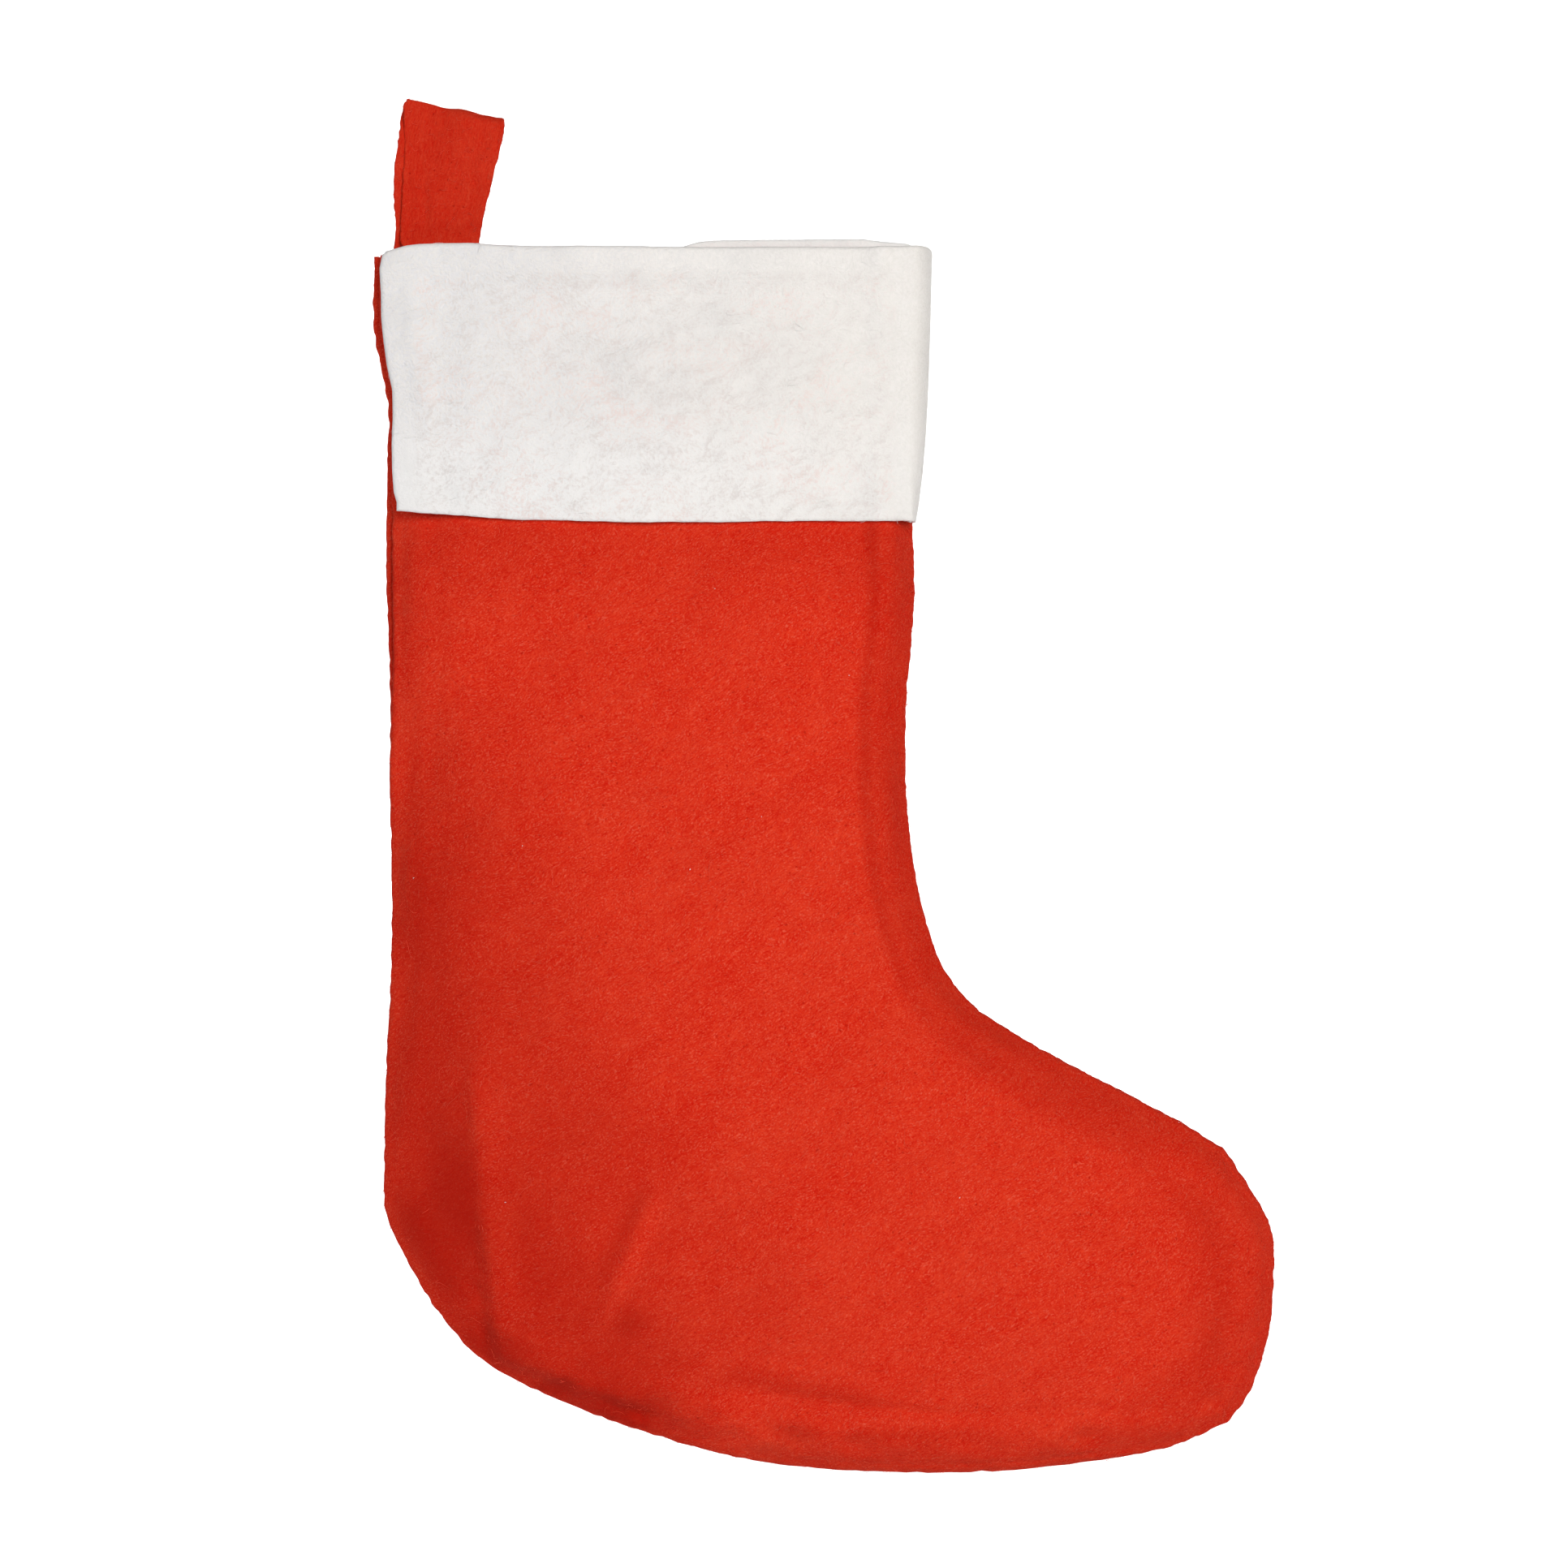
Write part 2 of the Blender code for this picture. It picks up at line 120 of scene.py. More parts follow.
# At the heel side the back panel rolls this far past the front one: (depth below the origin, reach)
ROLL = ((42, 2.0), (70, 2.1), (95, 1.7), (112, 1.3), (124, 2.3), (150, 2.2), (176, 1.2), (200, 0.0))

# The front cuff's outline: the x of its heel side and of its instep side by height,
# then the height of its rim and of its raw lower edge by x
CUFF_LEFT = ((-42, -21.5), (-46, -22.2), (-62, -21.9), (-70, -21.1), (-78, -20.1), (-86, -18.5),
             (-95, -18.4), (-104, -18.8), (-112, -18.6), (-119, -18.0), (-122.4, -17.0))
CUFF_RIGHT = ((-42, 147.1), (-64, 146.6), (-80, 146.1), (-97, 145.3), (-110, 144.2), (-120, 143.0),
              (-125.5, 142.0))
CUFF_RIM = ((-23, -44.2), (-21, -43.2), (-17, -42.2), (-14, -41.4), (-10, -41.0), (-4, -40.8), (6, -40.9),
            (12, -41.5), (20, -42.0), (30, -42.3), (60, -42.4), (128, -42.3), (138, -42.0), (143, -41.6),
            (147, -41.4))
CUFF_BOTTOM = ((-22, -121.9), (-12, -122.9), (0, -123.9), (10, -124.7), (20, -125.3), (40, -126.0),
               (60, -126.3), (80, -126.1), (100, -125.8), (120, -125.7), (147, -125.6))
# The heights between which the two sides are read
CUFF_TOP_LEVEL = -42
CUFF_LOW_LEVEL = -125.2
# How much higher the back piece's rim stands than the front's
BACK_RIM = ((66, 0), (70, 4.0), (75, 5.6), (80, 6.1), (92, 6.3), (126, 6.3), (132, 5.4), (140, 4.3),
            (143, 1.9), (145.5, 0.1))
# The panels' mouths dip this far between the seams, inside the cuff's rim
MOUTH_DIP = 1.7 * MM
# How far the back piece stops short of the front's heel side, in mm
BACK_CUFF_SHORT = 3.0

# The cuff's layers: rows down it and round its instep side, the width of its turned ends in mm, its height, how
# far it stands off the red felt, what one more layer of white adds, and how far the allowances lift its top
CUFF_ROWS = 84
WRAP_STEPS = 12
CUFF_END = 11
CUFF_HEIGHT = 84 * MM
LAYER_ON_RED = 1.3 * MM
LAYER = 1.45 * MM
TOP_BAND = 2.8 * MM
# Over these widths the layers bow down to the cuff's instep side and to its heel side
INSTEP_BOW = 13 * MM
HEEL_BOW = 14 * MM


def smooth_line(points, count):
    """A Catmull-Rom curve through the points, as an array of count + 1 samples."""
    points = np.array(points, float)
    ends = np.vstack([2 * points[0] - points[1], points, 2 * points[-1] - points[-2]])
    place = np.linspace(0, len(points) - 1, count + 1)
    k = np.minimum(place.astype(int), len(points) - 2)
    t = (place - k)[:, None]
    a, b, c, d = (ends[k + n] for n in range(4))
    return 0.5 * (2 * b + (c - a) * t + (2 * a - 5 * b + 4 * c - d) * t**2 + (3 * b - a - 3 * c + d) * t**3)


def ease(value, start, end):
    """0 at start, 1 at end, smooth in between; works on arrays."""
    t = np.clip((np.asarray(value, float) - start) / (end - start), 0, 1)
    return t * t * (3 - 2 * t)


def hump(distance, width):
    """A smooth hump of height 1 where distance is 0, which ends at width."""
    return 1 - ease(np.abs(distance), 0, width)


def along(x, z, start, end):
    """Place of each point against the line from start to end: 0 to 1 along it, and the distance across it."""
    dx, dz = end[0] - start[0], end[1] - start[1]
    length = math.hypot(dx, dz)
    share = ((x - start[0]) * dx + (z - start[1]) * dz) / length**2
    across = ((x - start[0]) * dz - (z - start[1]) * dx) / length
    return share, across


def ridge(x, z, start, end, width, fade=0.2):
    """A smooth ridge of height 1 along a line, fading out at its ends."""
    share, across = along(x, z, start, end)
    return hump(across, width) * ease(share, -fade, fade) * (1 - ease(share, 1 - fade, 1 + fade))


def crest(x, z, start, end, left, right, fade=0.2):
    """A crease of height 1 along a line drawn downwards, with flanks of unlike widths."""
    share, across = along(x, z, start, end)
    side = np.where(across > 0, hump(across, left), hump(across, right))
    return side * ease(share, -fade, fade) * (1 - ease(share, 1 - fade, 1 + fade))


def bump(x, z, centre, flatness, radius):
    """A round bump of height 1, flatness times wider than high."""
    return hump(np.hypot(x - centre[0], (z - centre[1]) * flatness), radius)


def total(shape, x, z, table):
    """The sum of one kind of shape over a table whose rows are a height and what the shape takes."""
    return sum(height * shape(x, z, *row) for height, *row in table)


def ripples(x, z, wavelength, seed, count=9):
    """Smooth irregular waves between about -1 and 1."""
    rng = np.random.default_rng(seed)
    waves = np.zeros(np.broadcast(x, z).shape)
    for _ in range(count):
        angle = rng.uniform(0, math.pi)
        length = wavelength * rng.uniform(0.7, 1.5)
        wave = (x * math.cos(angle) + z * math.sin(angle)) / length
        waves += np.sin(2 * math.pi * wave + rng.uniform(0, 2 * math.pi))
    return waves / math.sqrt(count)


def unevenness(x, z, seed, *waves):
    """Undulations in mm, from pairs of height and wavelength."""
    return sum(high * ripples(x, z, length, seed + n) for n, (high, length) in enumerate(waves))


def read(table, value):
    """Reads a table of (place, value) pairs, which run either way, at the places given."""
    table = np.array(sorted(table), float)
    return np.interp(value, table[:, 0], table[:, 1])


def unit(vectors):
    """The vectors of an array at length 1."""
    return vectors / np.linalg.norm(vectors, axis=-1)[..., None]


# ---- meshes
def linked(name, data):
    """A new object in the scene."""
    obj = bpy.data.objects.new(name, data)
    bpy.context.scene.collection.objects.link(obj)
    return obj


def new_mesh(name, points, faces):
    mesh = bpy.data.meshes.new(name)
    mesh.from_pydata(points, [], faces)
    return mesh


def new_object(name, mesh, material):
    mesh.materials.append(material)
    mesh.shade_smooth()
    return linked(name, mesh)


def quads(corner, beside):
    """Four-sided faces between rows of point numbers and the numbers of the points beside them."""
    return np.stack([corner[:-1], beside[:-1], beside[1:], corner[1:]], -1).reshape(-1, 4).tolist()


def felt_sheet(name, grids, thickness, material, holes=(), shade=None):
    """One sheet of felt from grids of points that share their borders, thickened evenly.

    shade gives, for the points of each grid, how much painted shade is there, from 0 to 1.
    """
    points = []
    faces = []
    for grid in grids:
        number = len(points) + np.arange(grid[..., 0].size).reshape(grid.shape[:2])
        points.extend(grid.reshape(-1, 3).tolist())
        faces.extend(quads(number[:, :-1], number[:, 1:]))
    for hole in holes:
        faces.append(tuple(range(len(points), len(points) + len(hole))))
        points.extend(hole.tolist())
    mesh = new_mesh(name, points, faces)
    if shade is not None:
        values = np.concatenate([np.asarray(part, np.float32).ravel() for part in shade])
        mesh.attributes.new(PAINTED_SHADE, "FLOAT", "POINT").data.foreach_set("value", values)
    shape = bmesh.new()
    shape.from_mesh(mesh)
    bmesh.ops.remove_doubles(shape, verts=shape.verts, dist=0.02 * MM)
    bmesh.ops.recalc_face_normals(shape, faces=shape.faces)
    shape.to_mesh(mesh)
    shape.free()
    obj = new_object(name, mesh, material)
    solidify = obj.modifiers.new("Felt thickness", "SOLIDIFY")
    solidify.thickness = thickness
    solidify.offset = 0
    apply_modifiers(obj)
    return obj


def apply_modifiers(obj):
    graph = bpy.context.evaluated_depsgraph_get()
    graph.update()
    final = bpy.data.meshes.new_from_object(obj.evaluated_get(graph))
    old = obj.data
    obj.modifiers.clear()
    obj.data = final
    bpy.data.meshes.remove(old)
    final.name = obj.name
    final.shade_smooth()


def tubes(name, paths, radii, sides, material):
    """Many thin tubes as one mesh: for each, an (n, 3) array of points and a radius for each of them."""
    points = []
    faces = []
    angles = (2 * np.pi * np.arange(sides) / sides)[None, :, None]
    first = 0
    for path, radius in zip(paths, radii):
        tangent = unit(np.gradient(path, axis=0))
        across = unit(np.cross(tangent, (0.31, 0.87, 0.38)))
        up = np.cross(tangent, across)
        ring = (across[:, None] * np.cos(angles) + up[:, None] * np.sin(angles)) * radius[:, None, None]
        points.append((path[:, None] + ring).reshape(-1, 3))
        number = first + np.arange(len(path) * sides).reshape(-1, sides)
        faces.extend(quads(number, np.roll(number, -1, axis=1)))
        faces.extend([number[0, ::-1].tolist(), number[-1].tolist()])
        first += number.size
    return new_object(name, new_mesh(name, np.vstack(points).tolist(), faces), material)


# ---- the body's shape
# Creases of the panels, in mm outwards: height, start, end, width, and how soon the ends fade if not at 0.2
FRONT_CREASES = (
    (-1.1, (92, -392), (152, -399), 4), (-0.7, (150, -399), (226, -397), 4.5),
    (-1.8, (44, -394), (60, -400.5), 4.5), (-1.4, (26, -395), (38, -388), 3.5),
    (-1.2, (8, -360), (11, -381), 4), (-0.4, (69.5, -262), (68.5, -302), 3.2, 0.3),
    (-1.1, (148, -281), (192, -314), 10, 0.3), (-0.8, (234, -338), (228, -396), 5),
)
BACK_CREASES = ((0.9, (20, -330), (44, -372), 7, 0.3), (-0.6, (150, -300), (196, -330), 9, 0.3))
# The creases with unlike flanks: height, start, end, width to the left and to the right, and the fade
FRONT_CRESTS = (
    (1.9, (7.5, -296), (11.8, -352), 3.5, 18), (1.5, (11.4, -344), (15.5, -384), 3.5, 15),
    (2.2, (62.5, -331), (48.5, -364), 5, 10, 0.3),
)
# Round bumps: height, centre, how much wider than high, and radius
FRONT_BUMPS = (
    (1.2, (31, -386), 1.5, 8), (1.2, (67, -392), 1.5, 8),
    (1.3, (86, -401), 1.6, 11), (1.2, (112, -404), 1.6, 10),
)
# Painted shade on the front: wide shadows, then the small ones at the creases and bumps; a height below 0
# paints light instead
PAINTED_WIDE_SHADE = (
    (0.7, (-8, -326), (64, -396), 34, 0.15), (0.4, (-18, -222), (-12, -336), 30),
    (0.25, (45, -300), (95, -385), 40, 0.25), (0.55, (-15, -334), (0, -362), 10, 0.25),
)
PAINTED_CREASE_SHADE_AND_LIGHT = (
    (0.35, (59, -329), (46, -356), 5, 0.25), (-0.5, (63, -333), (48, -368), 5, 0.3),
    (0.6, (46, -396), (60, -401.5), 5), (0.6, (24, -394), (36, -389), 5), (0.4, (84, -386), (130, -395), 6),
)
PAINTED_BUMP_SHADE_AND_LIGHT = (
    (0.4, (55, -370), 1, 9), (0.45, (14, -377), 1, 15), (-0.5, (90, -402), 1, 15), (-0.4, (116, -404), 1, 12),
)
# The depths below the origin between which the heel goes over into the sole, and the leg into the heel
SOLE = (350, 388)
HEEL = (300, 350)
# Middle of the strip along the seam that the sewing gathers, and half its width
GATHERED = (9, 10)


def seam_relief(x, z, d, raised, gathered, wavelength, seed):
    """The strip that the allowances raise along the seam, d mm from it, and the puckers along the sole."""
    sole = ease(-z, *SOLE)
    band = 11 + 5 * sole
    h = raised * (1 - ease(d, band - 3, band + 3)) * ease(d, 0, 4)
    return h + gathered * sole * ripples(x, z, wavelength, seed) * hump(d - GATHERED[0], GATHERED[1])


def long_waves(x, z, angle, wavelength, sway, sway_length, seed, phase):
    """Waves between -1 and 1 that run at angle degrees and sway by up to about sway mm."""
    slope = math.radians(angle)
    across = -x * math.sin(slope) + z * math.cos(slope)
    return np.sin(2 * math.pi * (across + sway * ripples(x, z, sway_length, seed)) / wavelength + phase)


def front_relief(x, z, d):
    """Creases, folds and undulations of the front panel in mm outwards, d mm from its edge."""
    h = seam_relief(x, z, d, 0.75, 0.9, 15, 5)
    h += 0.6 * ease(-z, *SOLE) * ridge(x, z, (15, -380), (60, -396), 5)
    h += total(ridge, x, z, FRONT_CREASES) + total(bump, x, z, FRONT_BUMPS) + total(crest, x, z, FRONT_CRESTS)
    h += (1 - ease(-z, *HEEL)) * long_waves(x, z, 33, 66, 6, 90, 11, 0.6)
    return (h + unevenness(x, z, 12, (0.55, 48), (0.16, 17), (0.07, 7))) * ease(d, 0, 6)


def back_relief(x, z, d):
    """The same for the back panel, which nothing has handled so much."""
    h = seam_relief(x, z, d, 0.7, 0.8, 17, 25) + total(ridge, x, z, BACK_CREASES)
    h += 0.9 * long_waves(x, z, -28, 74, 8, 95, 31, 0)
    return (h + unevenness(x, z, 32, (0.6, 52), (0.16, 17), (0.07, 7))) * ease(d, 0, 6)


class Body:
    """The sewn outline of one panel and the height of its felt above the seam's plane."""

    def __init__(self, front):
        self.front = front
        self.side = -1 if front else 1
        stations = smooth_line(STATIONS, PANEL_ROWS)
        heel = stations[:, :2] * MM
        instep = stations[:, 2:4] * MM
        toe = smooth_line(TOE_END, PANEL_COLUMNS) * MM
        if front:
            heel[:, 0] += read(ROLL, -heel[:, 1] / MM) * MM
        crown, heel_rise, heel_width, heel_power, instep_rise, instep_width = stations[:, 4:].T
        self.crown = crown * MM
        self.heel_rise = heel_rise * MM
        self.instep_rise = instep_rise * MM
        outline = np.vstack([heel[:-1], toe, instep[-2::-1]])
        toe_line = np.ones(len(toe))
        self.width = self.soften([heel_width[:-1], toe_line * TOE_ROUNDING, instep_width[-2::-1]]) * MM
        self.power = self.soften([heel_power[:-1], toe_line * TOE_POWER, np.full(PANEL_ROWS, INSTEP_POWER)])
        rise = self.soften([heel_rise[:-1], toe_line * heel_rise[-1], instep_rise[-2::-1]]) * MM
        ahead = unit(np.diff(outline, axis=0, append=2 * outline[-1:] - outline[-2:-1]))
        tangent = unit(self.smoothed(ahead + np.vstack([ahead[:1], ahead[:-1]]), 9))
        self.normals = np.stack([-tangent[:, 1], tangent[:, 0]], 1)
        step = np.linalg.norm(np.diff(outline, axis=0, prepend=outline[:1]), axis=1)
        run = np.cumsum(step) / MM
        seed = 41 if front else 42
        jag = 0.14 * ripples(run, 0 * run, 5, seed) + 0.10 * ripples(run, 0 * run, 2.6, seed + 5)
        self.centres = outline + self.normals * (FOLD + RED_FELT / 2 + jag * MM)[:, None]
        self.turn = np.minimum(np.arctan(rise * self.power / self.width), math.radians(70))
        self.border = self.centres - self.normals * (FOLD * np.sin(self.turn))[:, None]
        self.border_height = ALLOWANCE_PLANE + FOLD * (1 + np.cos(self.turn))
        self.heel = self.border[: PANEL_ROWS + 1]
        self.toe = self.border[PANEL_ROWS : PANEL_ROWS + PANEL_COLUMNS + 1]
        self.instep = self.border[PANEL_ROWS + PANEL_COLUMNS :][::-1]
        self.place, self.u = self.grid()
        self.height, self.distance = self.heights()

    @staticmethod
    def soften(parts, count=27):
        values = np.concatenate(parts)
        kernel = np.hanning(count)
        return np.convolve(np.pad(values, count // 2, "edge"), kernel / kernel.sum(), "valid")

    def smoothed(self, points, count):
        """The same row of points with its corners rounded."""
        return np.stack([self.soften([points[:, k]], count) for k in range(points.shape[1])], 1)

    def grid(self):
        """Points (x, z) of the panel's face by row and column, and the columns' shares across it."""
        u = np.linspace(0, 1, PANEL_COLUMNS + 1)
        u = 0.7 * u + 0.15 * (1 - np.cos(math.pi * u))
        station = np.linspace(0, len(STATIONS) - 1, PANEL_ROWS + 1)
        bend = (ease(station, TOE_FROM, len(STATIONS) - 1) ** 1.5)[:, None, None]
        flat = self.heel[:, None] * (1 - u[None, :, None]) + self.instep[:, None] * u[None, :, None]
        dip = MOUTH_DIP * ease(u, 0, 0.1) * (1 - ease(u, 0.9, 1))
        flat[..., 1] -= dip * (1 - ease(np.arange(PANEL_ROWS + 1), 0, 8))[:, None]
        toe_chord = self.toe[0] * (1 - u[:, None]) + self.toe[-1] * u[:, None]
        return flat + bend * (self.toe - toe_chord)[None], u

    def heights(self):
        """How far the middle of the felt stands off the seam's plane, and the distance from the border."""
        apart = [((row[:, None] - self.border[None]) ** 2).sum(2) for row in self.place]
        nearest = np.stack([row.argmin(1) for row in apart])
        distance = np.sqrt(np.stack([row.min(1) for row in apart]))
        self.on_heel_side = nearest <= PANEL_ROWS
        u = self.u[None]
        mix = ease(u, 0.1, 0.9)
        rise = self.heel_rise[:, None] * (1 - mix) + self.instep_rise[:, None] * mix
        share = 1 - (1 - np.clip(distance / self.width[nearest], 0, 1)) ** self.power[nearest]
        crown = self.crown[:, None] * 4 * u * (1 - u)
        relief = front_relief if self.front else back_relief
        x, z = self.place[..., 0] / MM, self.place[..., 1] / MM
        height = self.border_height[nearest] + rise * share + crown * share + relief(x, z, distance / MM) * MM
        return height, distance

    def grids(self):
        """The face, the fold and allowance along the seam, and the part turned out at the mouth, with the
        painted shade of each.
        """
        side = self.side
        face = np.stack([self.place[..., 0], side * self.height, self.place[..., 1]], 2)
        rim = np.vstack([face[:, 0], face[-1, 1:], face[-2::-1, -1]])
        rings = [rim]
        for step in range(1, FOLD_STEPS + 1):
            angle = self.turn + (math.pi - self.turn) * step / FOLD_STEPS
            out = self.centres - self.normals * (FOLD * np.sin(angle))[:, None]
            y = side * (ALLOWANCE_PLANE + FOLD + FOLD * np.cos(angle))
            rings.append(np.stack([out[:, 0], y, out[:, 1]], 1))
        inner = self.smoothed(self.centres + self.normals * BODY_ALLOWANCE, 41)
        wave = 0.25 * MM * ripples(inner[:, 0] / MM, inner[:, 1] / MM, 16, 51)
        y = side * (ALLOWANCE_PLANE + 0.3 * MM + np.abs(wave))
        rings.append(np.stack([inner[:, 0], y, inner[:, 1]], 1))
        seam = np.stack(rings)
        radius = (LAYER - 0.1 * MM) / 2
        top = face[0, 4 : PANEL_COLUMNS - 3]
        hem = [top]
        for step in range(1, FOLD_STEPS + 1):
            angle = math.pi * step / FOLD_STEPS
            hem.append(top + np.array((0, side * radius * (1 - math.cos(angle)), radius * math.sin(angle))))
        for step in range(1, 5):
            hem.append(hem[FOLD_STEPS] - np.array((0, 0, MOUTH_ALLOWANCE * step / 4)))
        hem = np.stack(hem)
        x, z = self.place[..., 0] / MM, self.place[..., 1] / MM
        d = self.distance / MM
        # The painted shade of the face, towards its edges and along its creases
        painted_shade_amount = np.clip(self.painted_edge_shade(x, z, d) + self.painted_crease_light_and_shade(x, z, d), 0, 1.3)
        # Painted shade on the seam's fold below the cuff, and all over the allowance inside
        painted_seam_shade = np.broadcast_to(0.55 * ease(-seam[..., 2], 0.116, 0.15), seam.shape[:2]).copy()
        painted_seam_shade[1 + FOLD_STEPS :] = 1
        # The hem inside the mouth takes full painted shade
        return [face, seam, hem], [painted_shade_amount, painted_seam_shade, np.ones(hem.shape[:2])]

    def painted_edge_shade(self, x, z, d):
        """Painted shade towards the edge, d mm away, along the top of the foot and over the toe, and a painted
        shadow under the cuff.
        """
        heel_side = 0.12 + 0.6 * ease(-z, 350, 395) * (1 - 0.65 * ease(x, 55, 85))
        instep_side = 0.6 - 0.22 * ease(x, 180, 212)
        painted_shade_amount = 0.8 * (1 - ease(d, 3, 15)) + 0.2 * (1 - ease(d, 8, 30))
        painted_shade_amount = painted_shade_amount * np.where(self.on_heel_side, heel_side, instep_side)
        # A band of painted shade a little way in from the leg's heel side
        painted_shade_amount = painted_shade_amount + 0.1 * hump(d - 9, 10) * (1 - ease(-z, 240, 290)) * self.on_heel_side
        # A line of painted shade along the fold at the top of the foot
        top_line = 0.35 * hump(d - 12, 8) * ease(x, 145, 165) * (1 - ease(x, 205, 225)) * ~self.on_heel_side
        # Painted shade over the toe
        toe = 0.6 * ease(x, 196, 232) * (1 - ease(d, 10, 34)) * ease(d, 6, 18) * ease(-z, 318, 336)
        # A painted shadow under the cuff's lower edge
        under_cuff = 0.3 * (1 - ease(-z, 130, 160)) * ease(d, 2, 16)
        return painted_shade_amount + toe + top_line + under_cuff

    def painted_crease_light_and_shade(self, x, z, d):
        """Painted shade along the creases and folds at the heel and the sole, and painted light where a height
        in its tables is below 0.
        """
        shaded = total(ridge, x, z, PAINTED_WIDE_SHADE)
        shaded = shaded + 0.5 * ridge(x, z, (-5, -205), (30, -345), 55, 0.25) * ease(d, 1, 8)
        past = x - read(HEEL_CREASE, z)
        behind = (1 - ease(past, -3.0, 0.8)) * ease(-z, 288, 312) * (1 - ease(-z, 376, 390))
        shaded = shaded + 0.3 * behind * ease(past, -26, -6)
        # Less painted shade on the lit flank to the right of the heel's crease: painted light
        shaded = shaded * (1 - 0.35 * hump(past - 5, 10) * ease(-z, 290, 310) * (1 - ease(-z, 362, 380)))
        # A band of painted shade along the sole, a little way in from the seam
        shaded = shaded + 0.5 * hump(x - 118, 60) * (1 - ease(d, 12, 16)) * ease(d, 8, 12)
        return shaded + total(ridge, x, z, PAINTED_CREASE_SHADE_AND_LIGHT) + total(bump, x, z, PAINTED_BUMP_SHADE_AND_LIGHT)

    def leg_height(self, u, z):
        """Height of the panel's face at shares across it and heights on the leg."""
        row = np.interp(-z, -self.heel[:LEG_ROWS, 1], np.arange(LEG_ROWS))
        column = np.interp(u, self.u, np.arange(PANEL_COLUMNS + 1))
        r = np.minimum(row.astype(int), LEG_ROWS - 2)
        c = np.minimum(column.astype(int), PANEL_COLUMNS - 1)
        a, b = row - r, column - c
        h = self.height
        upper = h[r, c] * (1 - b) + h[r, c + 1] * b
        lower = h[r + 1, c] * (1 - b) + h[r + 1, c + 1] * b
        return upper * (1 - a) + lower * a

    def leg_sides(self, z):
        """The x of the leg's heel side and instep side at a height."""
        return [np.interp(-z, -side[:LEG_ROWS, 1], side[:LEG_ROWS, 0]) for side in (self.heel, self.instep)]


# ---- the cuff
CUFF_FRONT_CREASES = (
    (0.4, (-13, -90), (9, -121), 7, 0.25), (-0.3, (-10, -104), (-2, -99), 3, 0.3),
    (-0.5, (90, -119.5), (103, -117.5), 2.5, 0.3), (-0.4, (129, -50), (141, -49), 2),
)
CUFF_BACK_CREASES = ((0.8, (20, -70), (60, -115), 8, 0.25), (-0.4, (90, -60), (96, -110), 5, 0.3))


def cuff_relief(x, z, front):
    """Creases and puffs of one piece of the cuff, in mm outwards."""
    seed, creases = (61, CUFF_FRONT_CREASES) if front else (71, CUFF_BACK_CREASES)
    return unevenness(x, z, seed, (0.4, 34), (0.16, 13), (0.07, 6)) + total(ridge, x, z, creases)


def bowed(x, y, inside, start, width, sag):
    """Past start, y drops no lower than a bow that sags by sag over width; inside isn't past it."""
    bow = np.interp(start, x, y) - sag * ((x - start) / width) ** 2
    return np.where(inside, y, np.maximum(y, bow))


def cuff_rows(body, shift_less):
    """One layer of the cuff, row by row: over the panel, then round the instep side to the seam."""
    short, taller = (0, 0) if body.front else (BACK_CUFF_SHORT, 1)
    nose = (LAYER + WHITE_FELT) / 2
    quarter = np.arange(1, WRAP_STEPS + 1) / WRAP_STEPS * math.pi / 2
    rows = []
    for v in np.linspace(0, 1, CUFF_ROWS + 1):
        level = CUFF_TOP_LEVEL + (CUFF_LOW_LEVEL - CUFF_TOP_LEVEL) * v
        left = (read(CUFF_LEFT, level) + short) * MM + nose
        heel, instep = body.leg_sides(level * MM)
        x = left + (instep - left) * body.u
        reach = read(CUFF_RIGHT, level) * MM - WHITE_FELT / 2 - instep
        span = np.concatenate([x, instep + reach * np.sin(quarter)]) / MM
        rim = (read(CUFF_RIM, span) + taller * read(BACK_RIM, span)) * MM - nose
        bottom = read(CUFF_BOTTOM, span) + 0.1 * ripples(span, 0 * span, 7, 81)
        bottom = (bottom + taller * 0.8 * ripples(span, 0 * span, 90, 82)) * MM
        z = rim + (bottom - rim) * v
        on_panel = z[: len(x)]
        height = body.leg_height((x - heel) / (instep - heel), on_panel)
        ends = 1 - ease(x - left, (CUFF_END - 4) * MM, (CUFF_END + 10) * MM)
        ends = np.maximum(ends, ease(x, instep - CUFF_END * MM, instep - 0.5 * MM))
        top = 1 - ease(-on_panel, 46.5 * MM, 58 * MM)
        layers = LAYER * ends + (TOP_BAND - 0.5 * LAYER * ends) * top
        lift = LAYER_ON_RED + layers + cuff_relief(x / MM, on_panel / MM, body.front) * MM
        y = height + np.maximum(lift, LAYER_ON_RED + LAYER * ends) - shift_less
        y = bowed(x, y, x <= instep - INSTEP_BOW, instep - INSTEP_BOW, INSTEP_BOW, 0.6 * MM)
        y = bowed(x, y, x >= left + HEEL_BOW, left + HEEL_BOW, HEEL_BOW, 1.5 * MM)
        edge = y[-1]
        last = math.acos(min((nose + 0.12 * MM) / edge, 0.9))
        angles = last * np.arange(1, WRAP_STEPS + 1) / WRAP_STEPS
        wrap_x = instep + (reach - shift_less) * np.sin(angles) / math.sin(last)
        y = body.side * np.concatenate([y, edge * np.cos(angles)])
        rows.append(np.stack([np.concatenate([x, wrap_x]), y, z], 1))
    return np.stack(rows)


def turned(outer, inner, away):
    """The fold between the borders of two layers, from outer to inner, bulging in the direction away."""
    middle = (outer + inner) / 2
    half = (inner - outer) / 2
    radius = np.linalg.norm(half, axis=-1)[..., None]
    lines = []
    for step in range(FOLD_STEPS + 1):
        angle = math.pi * step / FOLD_STEPS
        lines.append(middle - half * math.cos(angle) + away * radius * math.sin(angle))
    return np.stack(lines)


